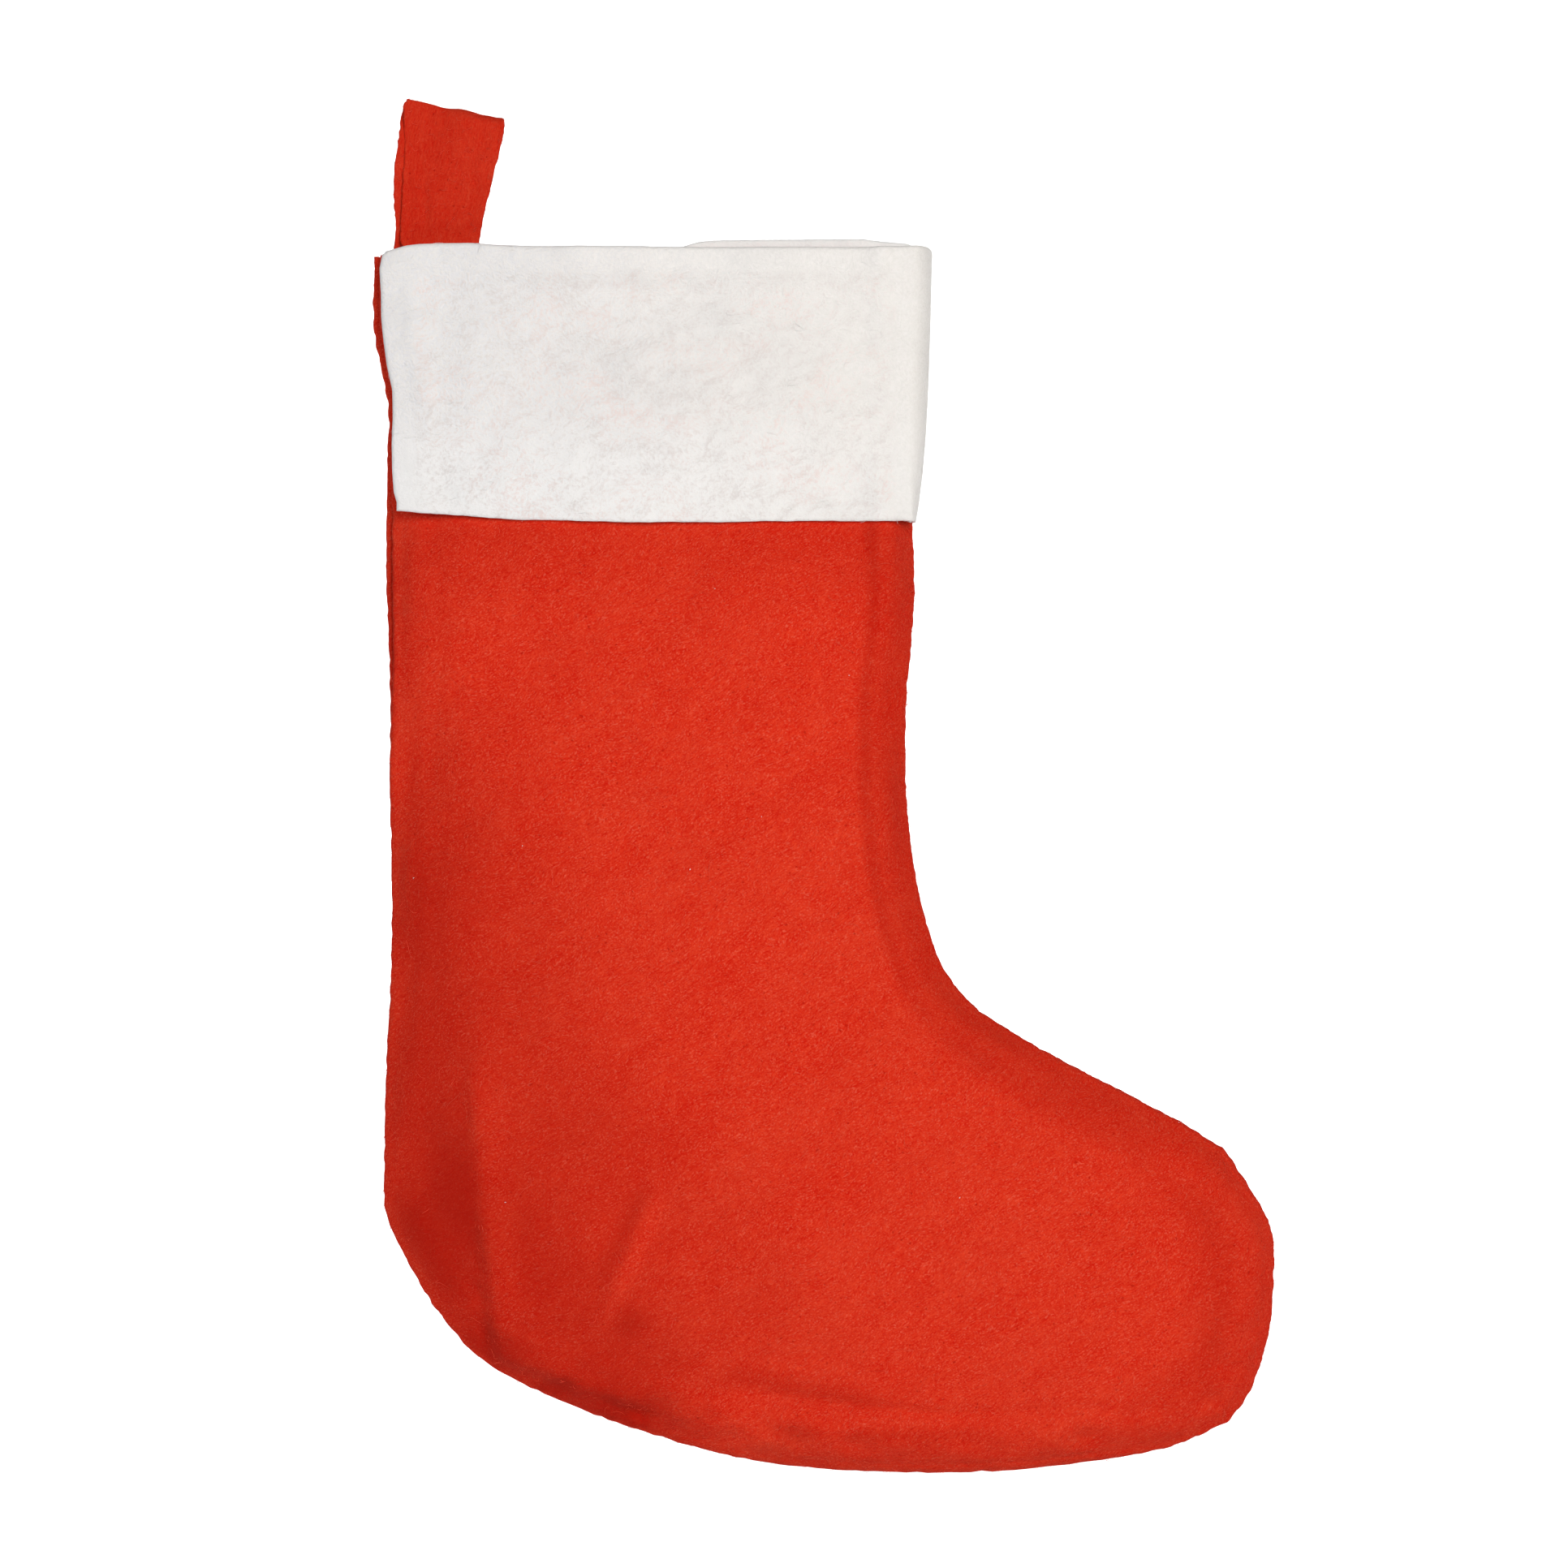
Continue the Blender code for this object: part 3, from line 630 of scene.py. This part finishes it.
def cuff_grids(body):
    """The grids of one piece of the cuff: face, turned ends with their allowances, top fold and its hem."""
    outer = cuff_rows(body, 0)
    inner = cuff_rows(body, LAYER)
    left_columns = int(np.argmax(outer[0, :, 0] > outer[0, 0, 0] + CUFF_END * MM))
    right_start = outer.shape[1] - WRAP_STEPS - 3
    left_fold = turned(outer[:, 0], inner[:, 0], np.array((-1.0, 0, 0)))
    right_fold = turned(outer[:, -1], inner[:, -1], unit(outer[:, -1] - outer[:, -2]))
    top_fold = turned(outer[0], inner[0], np.array((0, 0, 1.0)))
    hem = inner[: int(CUFF_ROWS * MOUTH_ALLOWANCE / CUFF_HEIGHT) + 1, left_columns : right_start + 1]
    allowances = [inner[:, : left_columns + 1], inner[:, right_start:]]
    corners = [np.vstack([f[:, 0], top_fold[-2:0:-1, c]]) for f, c in ((left_fold, 0), (right_fold, -1))]
    return [outer, left_fold, right_fold, top_fold, *allowances, hem], corners


# ---- the loop
# The front leg's profile (y, z) from its end to below the top fold, that fold (centre y and z, radius), the
# slant of the top, and the x of the sides of both legs by height
LOOP_PROFILE = ((-1.95, -62), (-1.95, -52), (-1.95, -44.2), (-1.3, -40.6), (-0.85, -37.6), (-1.1, -30),
                (-1.9, -20), (-2.9, -9), (-3.35, -3.4))
LOOP_ARC = (0.0, -1.75, 3.4)
LOOP_LEAN = math.tan(math.radians(11.2))
LOOP_FRONT_LEFT = ((6, -15.3), (0, -15.6), (-5, -15.3), (-17, -14.7), (-24, -14.6), (-37, -14.3),
                   (-62, -14.2))
LOOP_FRONT_RIGHT = ((6, 16.6), (-1, 15.9), (-2, 15.8), (-6, 15.3), (-9.5, 14.6), (-13, 13.9), (-17, 13.0),
                    (-21, 12.0), (-24.5, 11.4), (-28, 10.5), (-32, 9.9), (-36, 9.0), (-40, 8.2), (-62, 8.0))
LOOP_BACK_LEFT = ((6, -15.5), (1.75, -16.1), (-6, -17.3), (-9.5, -17.8), (-13, -18.5), (-17, -19.4),
                  (-24, -20.3), (-32, -20.2), (-39, -20.6), (-62, -20.4))
LOOP_BACK_RIGHT = ((6, 16.0), (-2, 14.9), (-10, 12.6), (-20, 9.6), (-30, 7.2), (-38, 6.2), (-62, 6.0))
LOOP_CREASES = (
    (0.9, (-13.5, -14), (-12.2, -40), 3.5), (-0.6, (-9.5, -20), (-9, -40), 3),
    (0.6, (4, -22), (12, -12), 4, 0.3), (-0.5, (-10, -3), (8, -8), 3.5, 0.3),
)
# Half the gap between the legs where they are pressed together, and how far the back one curls forwards
LOOP_PRESSED = 0.6
LOOP_CURL = 1.2
LOOP_COLUMNS = 48


def loop_relief(x, z, seed, creases):
    """Creases across and along one of the loop's legs, in mm outwards."""
    return unevenness(x, z, seed, (0.35, 15), (0.12, 6)) + total(ridge, x, z, creases)


def frayed(run, side, seed):
    """How far a cut edge wanders, in mm, run mm along it."""
    return float(unevenness(run, side, seed, (0.16, 6), (0.1, 2.6)))


def hanging_loop(material):
    """The strip, row by row from the end of its front leg over the top fold to the end of its back leg."""
    leg = smooth_line(LOOP_PROFILE, 72)
    centre_y, centre_z, radius = LOOP_ARC
    angles = np.linspace(math.pi, 0, 34)[1:-1]
    arc = np.stack([centre_y + radius * np.cos(angles), centre_z + radius * np.sin(angles)], 1)
    profile = np.vstack([leg, arc, leg[::-1] * (-1, 1)])
    step = unit(np.gradient(profile, axis=0))
    outwards = np.stack([-step[:, 1], step[:, 0]], 1)
    back = ease(profile[:, 0], -4.5, 4.5)
    share = np.clip((profile[:, 1] + 39) / 39, 0, 1) ** 2
    u = np.linspace(0, 1, LOOP_COLUMNS + 1)
    rows = []
    for (y, z), normal, behind, high in zip(profile, outwards, back, share):
        z_left = z + LOOP_LEAN * 15 * high
        z_right = z - LOOP_LEAN * 12 * high
        corner = 0.8 * float(ease(z, -0.4, 1.65)) ** 2
        left = read(LOOP_FRONT_LEFT, z_left) * (1 - behind) + read(LOOP_BACK_LEFT, z_left) * behind
        left += corner + frayed(y * 3 + z, 0, 97)
        right = read(LOOP_FRONT_RIGHT, z_right) * (1 - behind) + read(LOOP_BACK_RIGHT, z_right) * behind
        right += frayed(y * 3 + z, 3, 99) - corner
        across = left + (right - left) * u
        slanted = z - LOOP_LEAN * across * high
        front_part = loop_relief(across, slanted, 91, LOOP_CREASES) * (1 - behind)
        relief = front_part + loop_relief(across, slanted, 95, ()) * behind
        relief = relief * ease(z, -41, -30) * (0.3 + 0.7 * ease(u, 0.05, 0.35))
        closed = (1 - ease(u, 0.1, 0.75)) * ease(z, -41, -36)
        depth = y * (1 - closed) + np.clip(y, -LOOP_PRESSED, LOOP_PRESSED) * closed
        beside = float(read(LOOP_FRONT_LEFT, z_left))
        depth -= LOOP_CURL * behind * (1 - ease(across, beside - 0.6, beside + 0.8)) * ease(-z, 2, 7)
        rows.append(np.stack([across, depth + normal[0] * relief, slanted + normal[1] * relief], 1))
    return felt_sheet("loop_strip", [np.stack(rows) * MM], RED_FELT, material)


# ---- thread and fibres
def stitches(name, ends, bulge, material):
    """Short stitches from start to end, each bulging the way its third point says."""
    paths = []
    for start, end, away in ends:
        start, end, away = (np.array(p, float) for p in (start, end, away))
        t = np.linspace(0, 1, 7)[:, None]
        paths.append(start + (end - start) * t + away * bulge * (4 * t * (1 - t)))
    radius = np.full(7, THREAD / 2)
    radius[[0, -1]] *= 0.7
    return tubes(name, paths, [radius] * len(paths), 8, material)


def along_line(points, spacing):
    """Points every spacing along a line, with the direction of the line at each."""
    length = np.concatenate([[0], np.cumsum(np.linalg.norm(np.diff(points, axis=0), axis=1))])
    places = np.arange(spacing / 2, length[-1], spacing)
    found = np.stack([np.interp(places, length, column) for column in points.T], 1)
    ahead = np.stack([np.interp(places + 0.3 * MM, length, column) for column in points.T], 1)
    return found, unit(ahead - found)


def body_stitches(body, material):
    """Rungs of thread across the groove between the two turned edges, all round the seam."""
    rolled = np.zeros(len(body.centres))
    rolled[: PANEL_ROWS + 1] = read(ROLL, -body.centres[: PANEL_ROWS + 1, 1] / MM) / 2.2
    line = body.centres - body.normals * ((1.05 + 0.35 * rolled) * MM)[:, None]
    line = np.stack([line[:, 0], -0.45 * MM * rolled, line[:, 1]], 1)[6:-6]
    found, direction = along_line(line, 3 * MM)
    ends = []
    for place, ahead in zip(found, direction):
        half = np.array((0, 0.75 * MM, 0)) + ahead * 0.35 * MM
        ends.append((place - half, place + half, (-ahead[2], 0, ahead[0])))
    return stitches("seam_stitches", ends, 0.25 * MM, material)


def cuff_side_stitches(front_rows, material):
    """Stitches between the two pieces of the cuff, down its instep side."""
    edge = front_rows[4:-3, -1]
    line = np.stack([edge[:, 0] + 0.1 * MM, 0 * edge[:, 0], edge[:, 2]], 1)
    found, _ = along_line(line, 3 * MM)
    half = np.array((0, 0.9 * MM, 0.3 * MM))
    ends = [(place - half, place + half, (1, 0, 0)) for place in found]
    return stitches("cuff_side_stitches", ends, 0.2 * MM, material)


def mouth_stitches(name, body, material):
    """Running stitches in the valley between the panel's fold and the cuff's, along the mouth."""
    u = np.linspace(0.08, 0.92, 200)
    level = -44 * MM
    heel, instep = body.leg_sides(level)
    y = body.side * (body.leg_height(u, 0 * u + level) + 1.95 * MM)
    line = np.stack([heel + (instep - heel) * u, y, 0 * u + level + 0.1 * MM], 1)
    found, direction = along_line(line, 3.2 * MM)
    ends = [(p - d * 1.2 * MM, p + d * 1.2 * MM, (0, 0, 1)) for p, d in zip(found, direction)]
    return stitches(name, ends, 0.2 * MM, material)


def loop_stitches(material):
    """The bar of zigzag stitches that tacks the loop's ends down inside the mouth."""
    corners = np.array([(-13.5 + n, -2.6, -55.0 if n % 2 else -52.0) for n in range(19)]) * MM
    ends = [(start, end, (0, -1, 0)) for start, end in zip(corners, corners[1:])]
    return stitches("loop_stitches", ends, 0.25 * MM, material)


def surface_of(objects):
    """Triangle corners, normals and areas (twice) of these objects' meshes."""
    corners = []
    for obj in objects:
        mesh = obj.data
        mesh.calc_loop_triangles()
        points = np.empty(len(mesh.vertices) * 3, np.float32)
        mesh.vertices.foreach_get("co", points)
        index = np.empty(len(mesh.loop_triangles) * 3, np.int32)
        mesh.loop_triangles.foreach_get("vertices", index)
        corners.append(points.reshape(-1, 3)[index.reshape(-1, 3)])
    corners = np.concatenate(corners).astype(float)
    cross = np.cross(corners[:, 1] - corners[:, 0], corners[:, 2] - corners[:, 0])
    area = np.linalg.norm(cross, axis=1)
    return corners, cross / np.maximum(area, 1e-15)[:, None], area


def outside(centre, normal):
    """The felt's outer face below the cuff."""
    facing = normal[:, 1] * np.sign(centre[:, 1]) > 0.15
    return facing & (np.abs(centre[:, 1]) > 2.4 * MM) & (centre[:, 2] < -126 * MM)


def seam(centre, normal):
    """The outermost line of the turned edges."""
    away = centre - np.array((0.06, 0, -0.22))
    outwards = (normal * (1, 0, 1) * away).sum(1) > 0
    return outwards & (np.abs(normal[:, 1]) < 0.75) & (np.abs(centre[:, 1]) > 0.9 * MM)


def cuff_face(centre, normal):
    return (normal[:, 1] * np.sign(centre[:, 1]) > 0.1) | (normal[:, 2] > 0.4)


def loop_face(centre, normal):
    return centre[:, 2] > -36 * MM


def strays(name, objects, face, count, seed, length, radius, lift, material):
    """Loose fibres on the part of the felt that face picks; length, radius and lift are ranges in mm."""
    rng = np.random.default_rng(seed)
    corners, normals, area = surface_of(objects)
    chosen = face(corners.mean(1), normals)
    corners, normals, area = corners[chosen], normals[chosen], area[chosen]
    grain = np.array((math.cos(math.radians(25)), 0, math.sin(math.radians(25))))
    t = np.linspace(0, 1, 8)[:, None]
    arch = 4 * t * (1 - t)
    paths = []
    radii = []
    for pick in rng.choice(len(area), count, p=area / area.sum()):
        a, b = rng.random(2)
        if a + b > 1:
            a, b = 1 - a, 1 - b
        first, second, third = corners[pick]
        start = first + a * (second - first) + b * (third - first)
        normal = normals[pick]
        direction = rng.normal(size=3) + grain * rng.choice((-1.4, 1.4))
        direction = unit(direction - normal * direction.dot(normal))
        reach = rng.uniform(*length) * MM
        bow = rng.uniform(-0.5, 0.5) * reach
        wiggle = rng.uniform(-0.08, 0.08) * reach
        height = rng.uniform(*lift) * MM
        loose_end = rng.uniform(0, 1)
        path = start + direction * reach * (t - 0.5)
        path = path + np.cross(normal, direction) * (bow * arch + wiggle * np.sin(t * 2 * math.pi))
        path = path + normal * (height * (arch * (1 - loose_end) + t * loose_end) - 0.06 * MM)
        paths.append(path)
        radii.append(rng.uniform(*radius) * MM * (1 - 0.6 * np.abs(2 * t[:, 0] - 1) ** 2))
    return tubes(name, paths, radii, 4, material)


# ---- materials
class Shader:
    """A node material in millimetres of the object's own space."""

    def __init__(self, name, roughness, sheen, sheen_roughness, sheen_tint):
        self.material = bpy.data.materials.new(name)
        self.material.use_nodes = True
        self.tree = self.material.node_tree
        self.shader = self.tree.nodes["Principled BSDF"]
        self.fill(self.shader, {"Roughness": roughness, "Specular IOR Level": 0.08, "Sheen Weight": sheen})
        self.fill(self.shader, {"Sheen Roughness": sheen_roughness, "Sheen Tint": (*sheen_tint, 1)})
        self.mm = self.vector("SCALE", self.node("TexCoord", {})["Object"], Scale=1 / MM)

    def fill(self, node, inputs):
        """Gives a node's inputs, by name or number, their values or their links."""
        for key, value in inputs.items():
            if isinstance(value, bpy.types.NodeSocket):
                self.tree.links.new(value, node.inputs[key])
            else:
                node.inputs[key].default_value = value

    def node(self, kind, inputs, **settings):
        """The outputs of a new node."""
        node = self.tree.nodes.new("ShaderNode" + kind)
        for key, value in settings.items():
            setattr(node, key, value)
        self.fill(node, inputs)
        return node.outputs

    def vector(self, operation, *values, **named):
        return self.node("VectorMath", {**dict(enumerate(values)), **named}, operation=operation)["Vector"]

    def math(self, operation, *values):
        return self.node("Math", dict(enumerate(values)), operation=operation)["Value"]

    def times(self, one, other):
        return self.math("MULTIPLY", one, other)

    def sum(self, *values):
        total_so_far = values[0]
        for value in values[1:]:
            total_so_far = self.math("ADD", total_so_far, value)
        return total_so_far

    def weighted(self, value, weight):
        """A 0 to 1 value as a deviation of up to about half of weight either way."""
        return self.times(self.math("SUBTRACT", value, 0.5), weight)

    def noise(self, size, detail=2.0, where=None, colour=False, roughness=0.5):
        """Noise with features about size mm across, from 0 to 1."""
        inputs = {"Vector": self.mm if where is None else where, "Scale": 1 / size}
        outputs = self.node("TexNoise", {**inputs, "Detail": detail, "Roughness": roughness})
        return outputs["Color" if colour else "Fac"]

    def cells(self, size, where):
        """Distance to the nearest of scattered points about size mm apart, in mm."""
        return self.times(self.node("TexVoronoi", {"Vector": where, "Scale": 1 / size})["Distance"], size)

    def stretched(self, angle, sizes, where=None):
        """Coordinates whose unit is sizes mm long, along axes turned by angle in the plane of the felt."""
        inputs = {"Vector": self.mm if where is None else where, "Scale": sizes}
        inputs["Rotation"] = (0, -math.radians(angle), 0)
        return self.node("Mapping", inputs, vector_type="TEXTURE")["Vector"]

    def warped(self, size, amount):
        """The coordinates pushed about by noise, by up to about amount mm."""
        push = self.vector("SUBTRACT", self.noise(size, 2, colour=True), (0.5, 0.5, 0.5))
        return self.vector("ADD", self.mm, self.vector("SCALE", push, Scale=2 * amount))

    def ranged(self, value, low, high, kind="SMOOTHSTEP"):
        """0 at low, 1 at high."""
        inputs = {"Value": value, "From Min": low, "From Max": high}
        return self.node("MapRange", inputs, interpolation_type=kind)["Result"]

    def mix(self, factor, one, other):
        one, other = (c if isinstance(c, bpy.types.NodeSocket) else (*c, 1) for c in (one, other))
        return self.node("Mix", {0: factor, 6: one, 7: other}, data_type="RGBA")[2]

    def finish(self, colour, height):
        """height is the bump in mm."""
        normal = self.node("Bump", {"Distance": MM, "Height": height})["Normal"]
        self.fill(self.shader, {"Base Color": colour, "Normal": normal})
        return self.material


def red_felt(name, tone, grain, fluffy, mottled):
    """Needle-punched felt: streaks of combed fibre at grain degrees, needle marks, a cloudy dye and painted
    shade.

    tone darkens it below 1, fluffy is how much pale fluff shows, mottled the strength of its fine pattern.
    """
    felt = Shader(name, 0.92, 0.12, 0.45, (1.0, 0.25, 0.12))
    where = felt.warped(22, 4)

    def fibres(turn, sizes, detail=1, size=1, roughness=0.5):
        return felt.noise(size, detail, felt.stretched(grain + turn, sizes, where), roughness=roughness)

    def toned(*colour):
        return tuple(c * tone for c in colour)

    streaks = fibres(0, (4.0, 0.9, 0.5), 3, roughness=0.65)
    fine = fibres(8, (1.4, 0.5, 0.3), 2)
    fuzz = felt.noise(0.55, 2, where, roughness=0.6)
    combed = felt.ranged(fibres(12, (4.5, 0.6, 0.24)), 0.58, 0.76)
    crossing = felt.ranged(fibres(-38, (3.5, 0.6, 0.22)), 0.62, 0.80)
    clouds = felt.noise(24, 3, felt.stretched(grain + 4, (1.8, 1, 0.7)), roughness=0.55)
    patches = felt.noise(5, 2, where)
    scattered = felt.vector("ADD", where, felt.vector("SCALE", felt.noise(3, 0, colour=True), Scale=1.5))
    pits = felt.math("SUBTRACT", 1, felt.ranged(felt.cells(3.2, scattered), 0.17, 0.42))
    value = felt.sum(
        0.44,
        felt.weighted(streaks, 1.4 * mottled),
        felt.weighted(fine, 1.2 * mottled),
        felt.weighted(fuzz, 1.6 * mottled),
        felt.weighted(clouds, 0.55),
        felt.weighted(patches, 0.4),
        felt.times(combed, 0.45 * mottled),
        felt.times(crossing, 0.3 * mottled),
    )
    fluff = felt.ranged(fibres(0, (1.6, 1, 1), 2, 0.42, 0.6), 0.52, 0.70)
    shade = felt.node("Attribute", {}, attribute_name=PAINTED_SHADE)["Fac"]
    value = felt.ranged(value, 0.0, 1.0, "LINEAR")
    colour = felt.mix(value, toned(0.65, 0.0075, 0.0008), toned(0.80, 0.054, 0.019))
    colour = felt.mix(felt.times(fluff, fluffy), colour, toned(0.84, 0.165, 0.100))
    # Painted shade: the mesh's attribute mixes the colour towards a deep shadow red
    colour = felt.mix(felt.times(shade, 0.6), colour, toned(0.39, 0.005, 0.001))
    # Needle marks, darker partly in their own colour and partly as painted shade in their pits
    colour = felt.mix(felt.times(pits, 0.66), colour, toned(0.50, 0.008, 0.0015))
    height = felt.sum(
        felt.weighted(streaks, 0.24),
        felt.weighted(fine, 0.10),
        felt.weighted(fuzz, 0.16),
        felt.weighted(patches, 0.15),
        felt.times(pits, -0.10),
    )
    return felt.finish(colour, height)


def white_felt(name):
    """Thin white felt that shows the red behind it faintly, except where its allowances double it."""
    felt = Shader(name, 0.94, 0.12, 0.5, (1, 1, 1))
    place = felt.node("SeparateXYZ", {"Vector": felt.mm})
    x, z = place["X"], place["Z"]
    where = felt.warped(14, 4)
    fuzz = felt.noise(0.9, 3, where, roughness=0.65)
    streaks = felt.noise(1, 2, felt.stretched(20, (3.5, 1.2, 0.9), where))
    patches = felt.noise(1, 3, felt.stretched(38, (6.5, 3.0, 3.0), where), roughness=0.62)
    clouds = felt.noise(26, 2)
    pink = felt.noise(17, 2, felt.stretched(15, (1.2, 1, 0.9)))
    edge = felt.weighted(felt.noise(6, 2), 3.0)
    through = felt.sum(felt.weighted(patches, 2.1), felt.weighted(clouds, 0.9), felt.weighted(fuzz, 3.0))
    through = felt.ranged(felt.math("ADD", through, 0.29), 0.15, 1.0, "LINEAR")
    for axis, doubled, single in ((x, -12.5, -9.5), (x, 136.5, 133.0), (z, -49.0, -52.0)):
        through = felt.times(through, felt.ranged(felt.math("ADD", axis, edge), doubled, single))
    # Painted light: the white is tinted cool towards the heel side and warm towards the instep side, like the
    # cool lamps on the left and the warm one on the right
    plain = felt.mix(felt.ranged(x, -20, 135), (0.846, 0.838, 0.858), (0.838, 0.815, 0.792))
    plain = felt.mix(felt.ranged(fuzz, 0.3, 0.7), plain, (0.895, 0.868, 0.852))
    low = felt.times(felt.ranged(z, -84, -114), felt.ranged(x, 190, -10, "LINEAR"))
    plain = felt.mix(low, plain, (0.940, 0.928, 0.928))
    # Painted light: the white is painted brighter at the top, along the rims, most of all on the back piece's
    # rim where the front shades it
    plain = felt.mix(felt.ranged(z, -42.0, -40.6), plain, (0.980, 0.975, 0.965))
    shown = felt.mix(felt.ranged(pink, 0.42, 0.66), (0.71, 0.652, 0.640), (0.83, 0.668, 0.640))
    colour = felt.mix(felt.times(through, 0.62), plain, shown)
    height = felt.sum(felt.weighted(fuzz, 0.36), felt.weighted(streaks, 0.16), felt.weighted(patches, 0.12))
    return felt.finish(colour, height)


def thread_material(name, colour, dark):
    """Twisted sewing thread, painted darker in the grooves of its twist as painted shade."""
    thread = Shader(name, 0.6, 0.15, 0.4, (1, 1, 1))
    twist = thread.noise(1, 1, thread.stretched(40, (1.0, 0.3, 0.18)))
    fuzz = thread.noise(0.3, 1)
    shade = thread.mix(thread.ranged(twist, 0.35, 0.65), dark, colour)
    height = thread.sum(thread.weighted(twist, 0.08), thread.weighted(fuzz, 0.03))
    return thread.finish(shade, height)


def fibre_material(name, colour):
    """Single loose fibres, a little lighter than the felt that they come from."""
    fibre = Shader(name, 0.7, 0.2, 0.5, colour)
    shade = fibre.noise(3, 1)
    darker = tuple(c * 0.8 for c in colour)
    return fibre.finish(fibre.mix(fibre.ranged(shade, 0.3, 0.7), darker, colour), fibre.weighted(shade, 0.01))


# ---- camera, stage and light
def add_camera():
    camera = linked("camera", bpy.data.cameras.new("camera"))
    camera.data.lens = 85
    camera.data.sensor_width = 36
    camera.location = (0.1015, -1.141, -0.206)
    camera.rotation_euler = (math.radians(90), 0, 0)
    bpy.context.scene.camera = camera


def add_stage():
    """A pale floor that curves up into a backdrop."""
    floor, radius, back, reach, half = -0.62, 0.5, 1.0, 2.4, 2.6
    profile = [(-reach, floor)]
    for step in range(25):
        angle = math.pi / 2 * step / 24
        profile.append((back - radius + radius * math.sin(angle), floor + radius * (1 - math.cos(angle))))
    profile.append((back, 1.9))
    points = [(x, y, z) for y, z in profile for x in (-half, half)]
    faces = [(2 * n, 2 * n + 1, 2 * n + 3, 2 * n + 2) for n in range(len(profile) - 1)]
    mesh = new_mesh("studio_sweep", points, faces)
    paper = Shader("studio_paper", 0.9, 0.0, 0.5, (1, 1, 1))
    grain = paper.noise(4, 2)
    colour = paper.mix(grain, (0.93, 0.93, 0.93), (0.95, 0.95, 0.95))
    sweep = new_object("studio_sweep", mesh, paper.finish(colour, paper.weighted(grain, 0.02)))


def add_light(name, place, target, size, energy, colour, spread=180):
    light = bpy.data.lights.new(name, "AREA")
    light.shape = "RECTANGLE"
    light.size, light.size_y = size
    light.energy = energy
    light.color = colour
    light.spread = math.radians(spread)
    obj = linked(name, light)
    obj.location = place
    obj.rotation_euler = (Vector(target) - Vector(place)).to_track_quat("-Z", "Y").to_euler()


def add_lights():
    world = bpy.data.worlds.new("studio")
    world.use_nodes = True
    sky = world.node_tree.nodes["Background"].inputs
    sky["Color"].default_value = (0.96, 0.98, 1.0, 1)
    sky["Strength"].default_value = 0.08
    bpy.context.scene.world = world
    add_light("key", (0.50, -1.05, 0.18), (0.1, 0, -0.22), (0.6, 0.6), 10.4, (1.0, 0.975, 0.93))
    add_light("fill", (-0.80, -1.10, 0.45), (0, 0, -0.1), (0.9, 0.9), 2.3, (0.90, 0.94, 1.0))
    add_light("side", (-1.15, -0.65, -0.05), (0, 0, -0.15), (0.5, 0.9), 2.1, (0.90, 0.94, 1.0))
    for x in (-0.95, 1.15):
        add_light("backdrop", (x, 0.05, 0.15), (0.1 + 0.35 * x, 1.0, -0.25), (0.5, 1.2), 7.2, (1, 1, 1), 100)
    bpy.context.scene.view_settings.view_transform = "Standard"


# ---- the model
def worn(piece, node):
    """A piece of the stocking with the CAD node that it replaces and the body that it rides on."""
    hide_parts(node)
    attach(piece, STOCKING)
    return piece


def dress():
    """Every visible piece: made and given its finish; all but the loop and its fibres are put on the stocking's
    body.
    """
    panel_felt = red_felt("panel_felt", 1.0, 33, 0.44, 0.80)
    strip_felt = red_felt("strip_felt", 0.87, 76, 0.14, 0.6)
    cuff_felt = white_felt("cuff_felt")
    red_thread = thread_material("red_thread", (0.62, 0.025, 0.02), (0.36, 0.012, 0.01))
    white_thread = thread_material("white_thread", (0.88, 0.87, 0.85), (0.62, 0.61, 0.60))
    red_fibre = fibre_material("red_fibre", (0.88, 0.085, 0.045))
    white_fibre = fibre_material("white_fibre", (0.93, 0.92, 0.91))

    panels = []
    cuffs = []
    for front, word in ((True, "front"), (False, "back")):
        body = Body(front)
        grids, shade = body.grids()
        panel = felt_sheet(f"{word}_panel_felt", grids, RED_FELT, panel_felt, shade=shade)
        worn(panel, f"{word}_panel")
        panels.append(panel)

        grids, corners = cuff_grids(body)
        cuff = felt_sheet(f"cuff_{word}_felt", grids, WHITE_FELT, cuff_felt, corners)
        worn(cuff, f"cuff_{word}")
        cuffs.append(cuff)

        thread = mouth_stitches(f"mouth_stitches_{word}", body, white_thread)
        worn(thread, f"cuff_{word}_stitching")
        if front:
            worn(body_stitches(body, red_thread), "body_stitching")
            worn(cuff_side_stitches(grids[0], white_thread), "cuff_side_stitching")
    worn(loop_stitches(red_thread), "loop_stitching")

    loop = hanging_loop(strip_felt)
    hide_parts("hanging_loop", "hanging_loop_ends")
    bending = [loop]
    red, white, strip = (red_fibre, "red_felt"), (white_fibre, "white_felt"), (red_fibre, "loop_felt")
    for name, grown_on, face, count, seed, length, radius, lift, (fibre, slot) in (
        ("red_strays", panels, outside, 520, 7, (2.5, 8), (0.035, 0.07), (0.1, 0.5), red),
        ("edge_fuzz", panels, seam, 900, 8, (0.8, 2.2), (0.04, 0.07), (0.2, 0.9), red),
        ("white_strays", cuffs, cuff_face, 560, 9, (1.5, 6), (0.03, 0.06), (0.1, 0.6), white),
        ("loop_strays", [loop], loop_face, 420, 10, (0.8, 2.6), (0.04, 0.07), (0.1, 0.7), strip),
        ("white_lint", panels, outside, 18, 11, (0.3, 0.6), (0.08, 0.13), (0.1, 0.3), white),
    ):
        fibres = strays(name, grown_on, face, count, seed, length, radius, lift, fibre)
        if slot == "loop_felt":
            bending.append(fibres)
        else:
            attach(fibres, STOCKING)
    for piece in bending:
        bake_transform(piece)


add_camera()
add_stage()
add_lights()
dress()
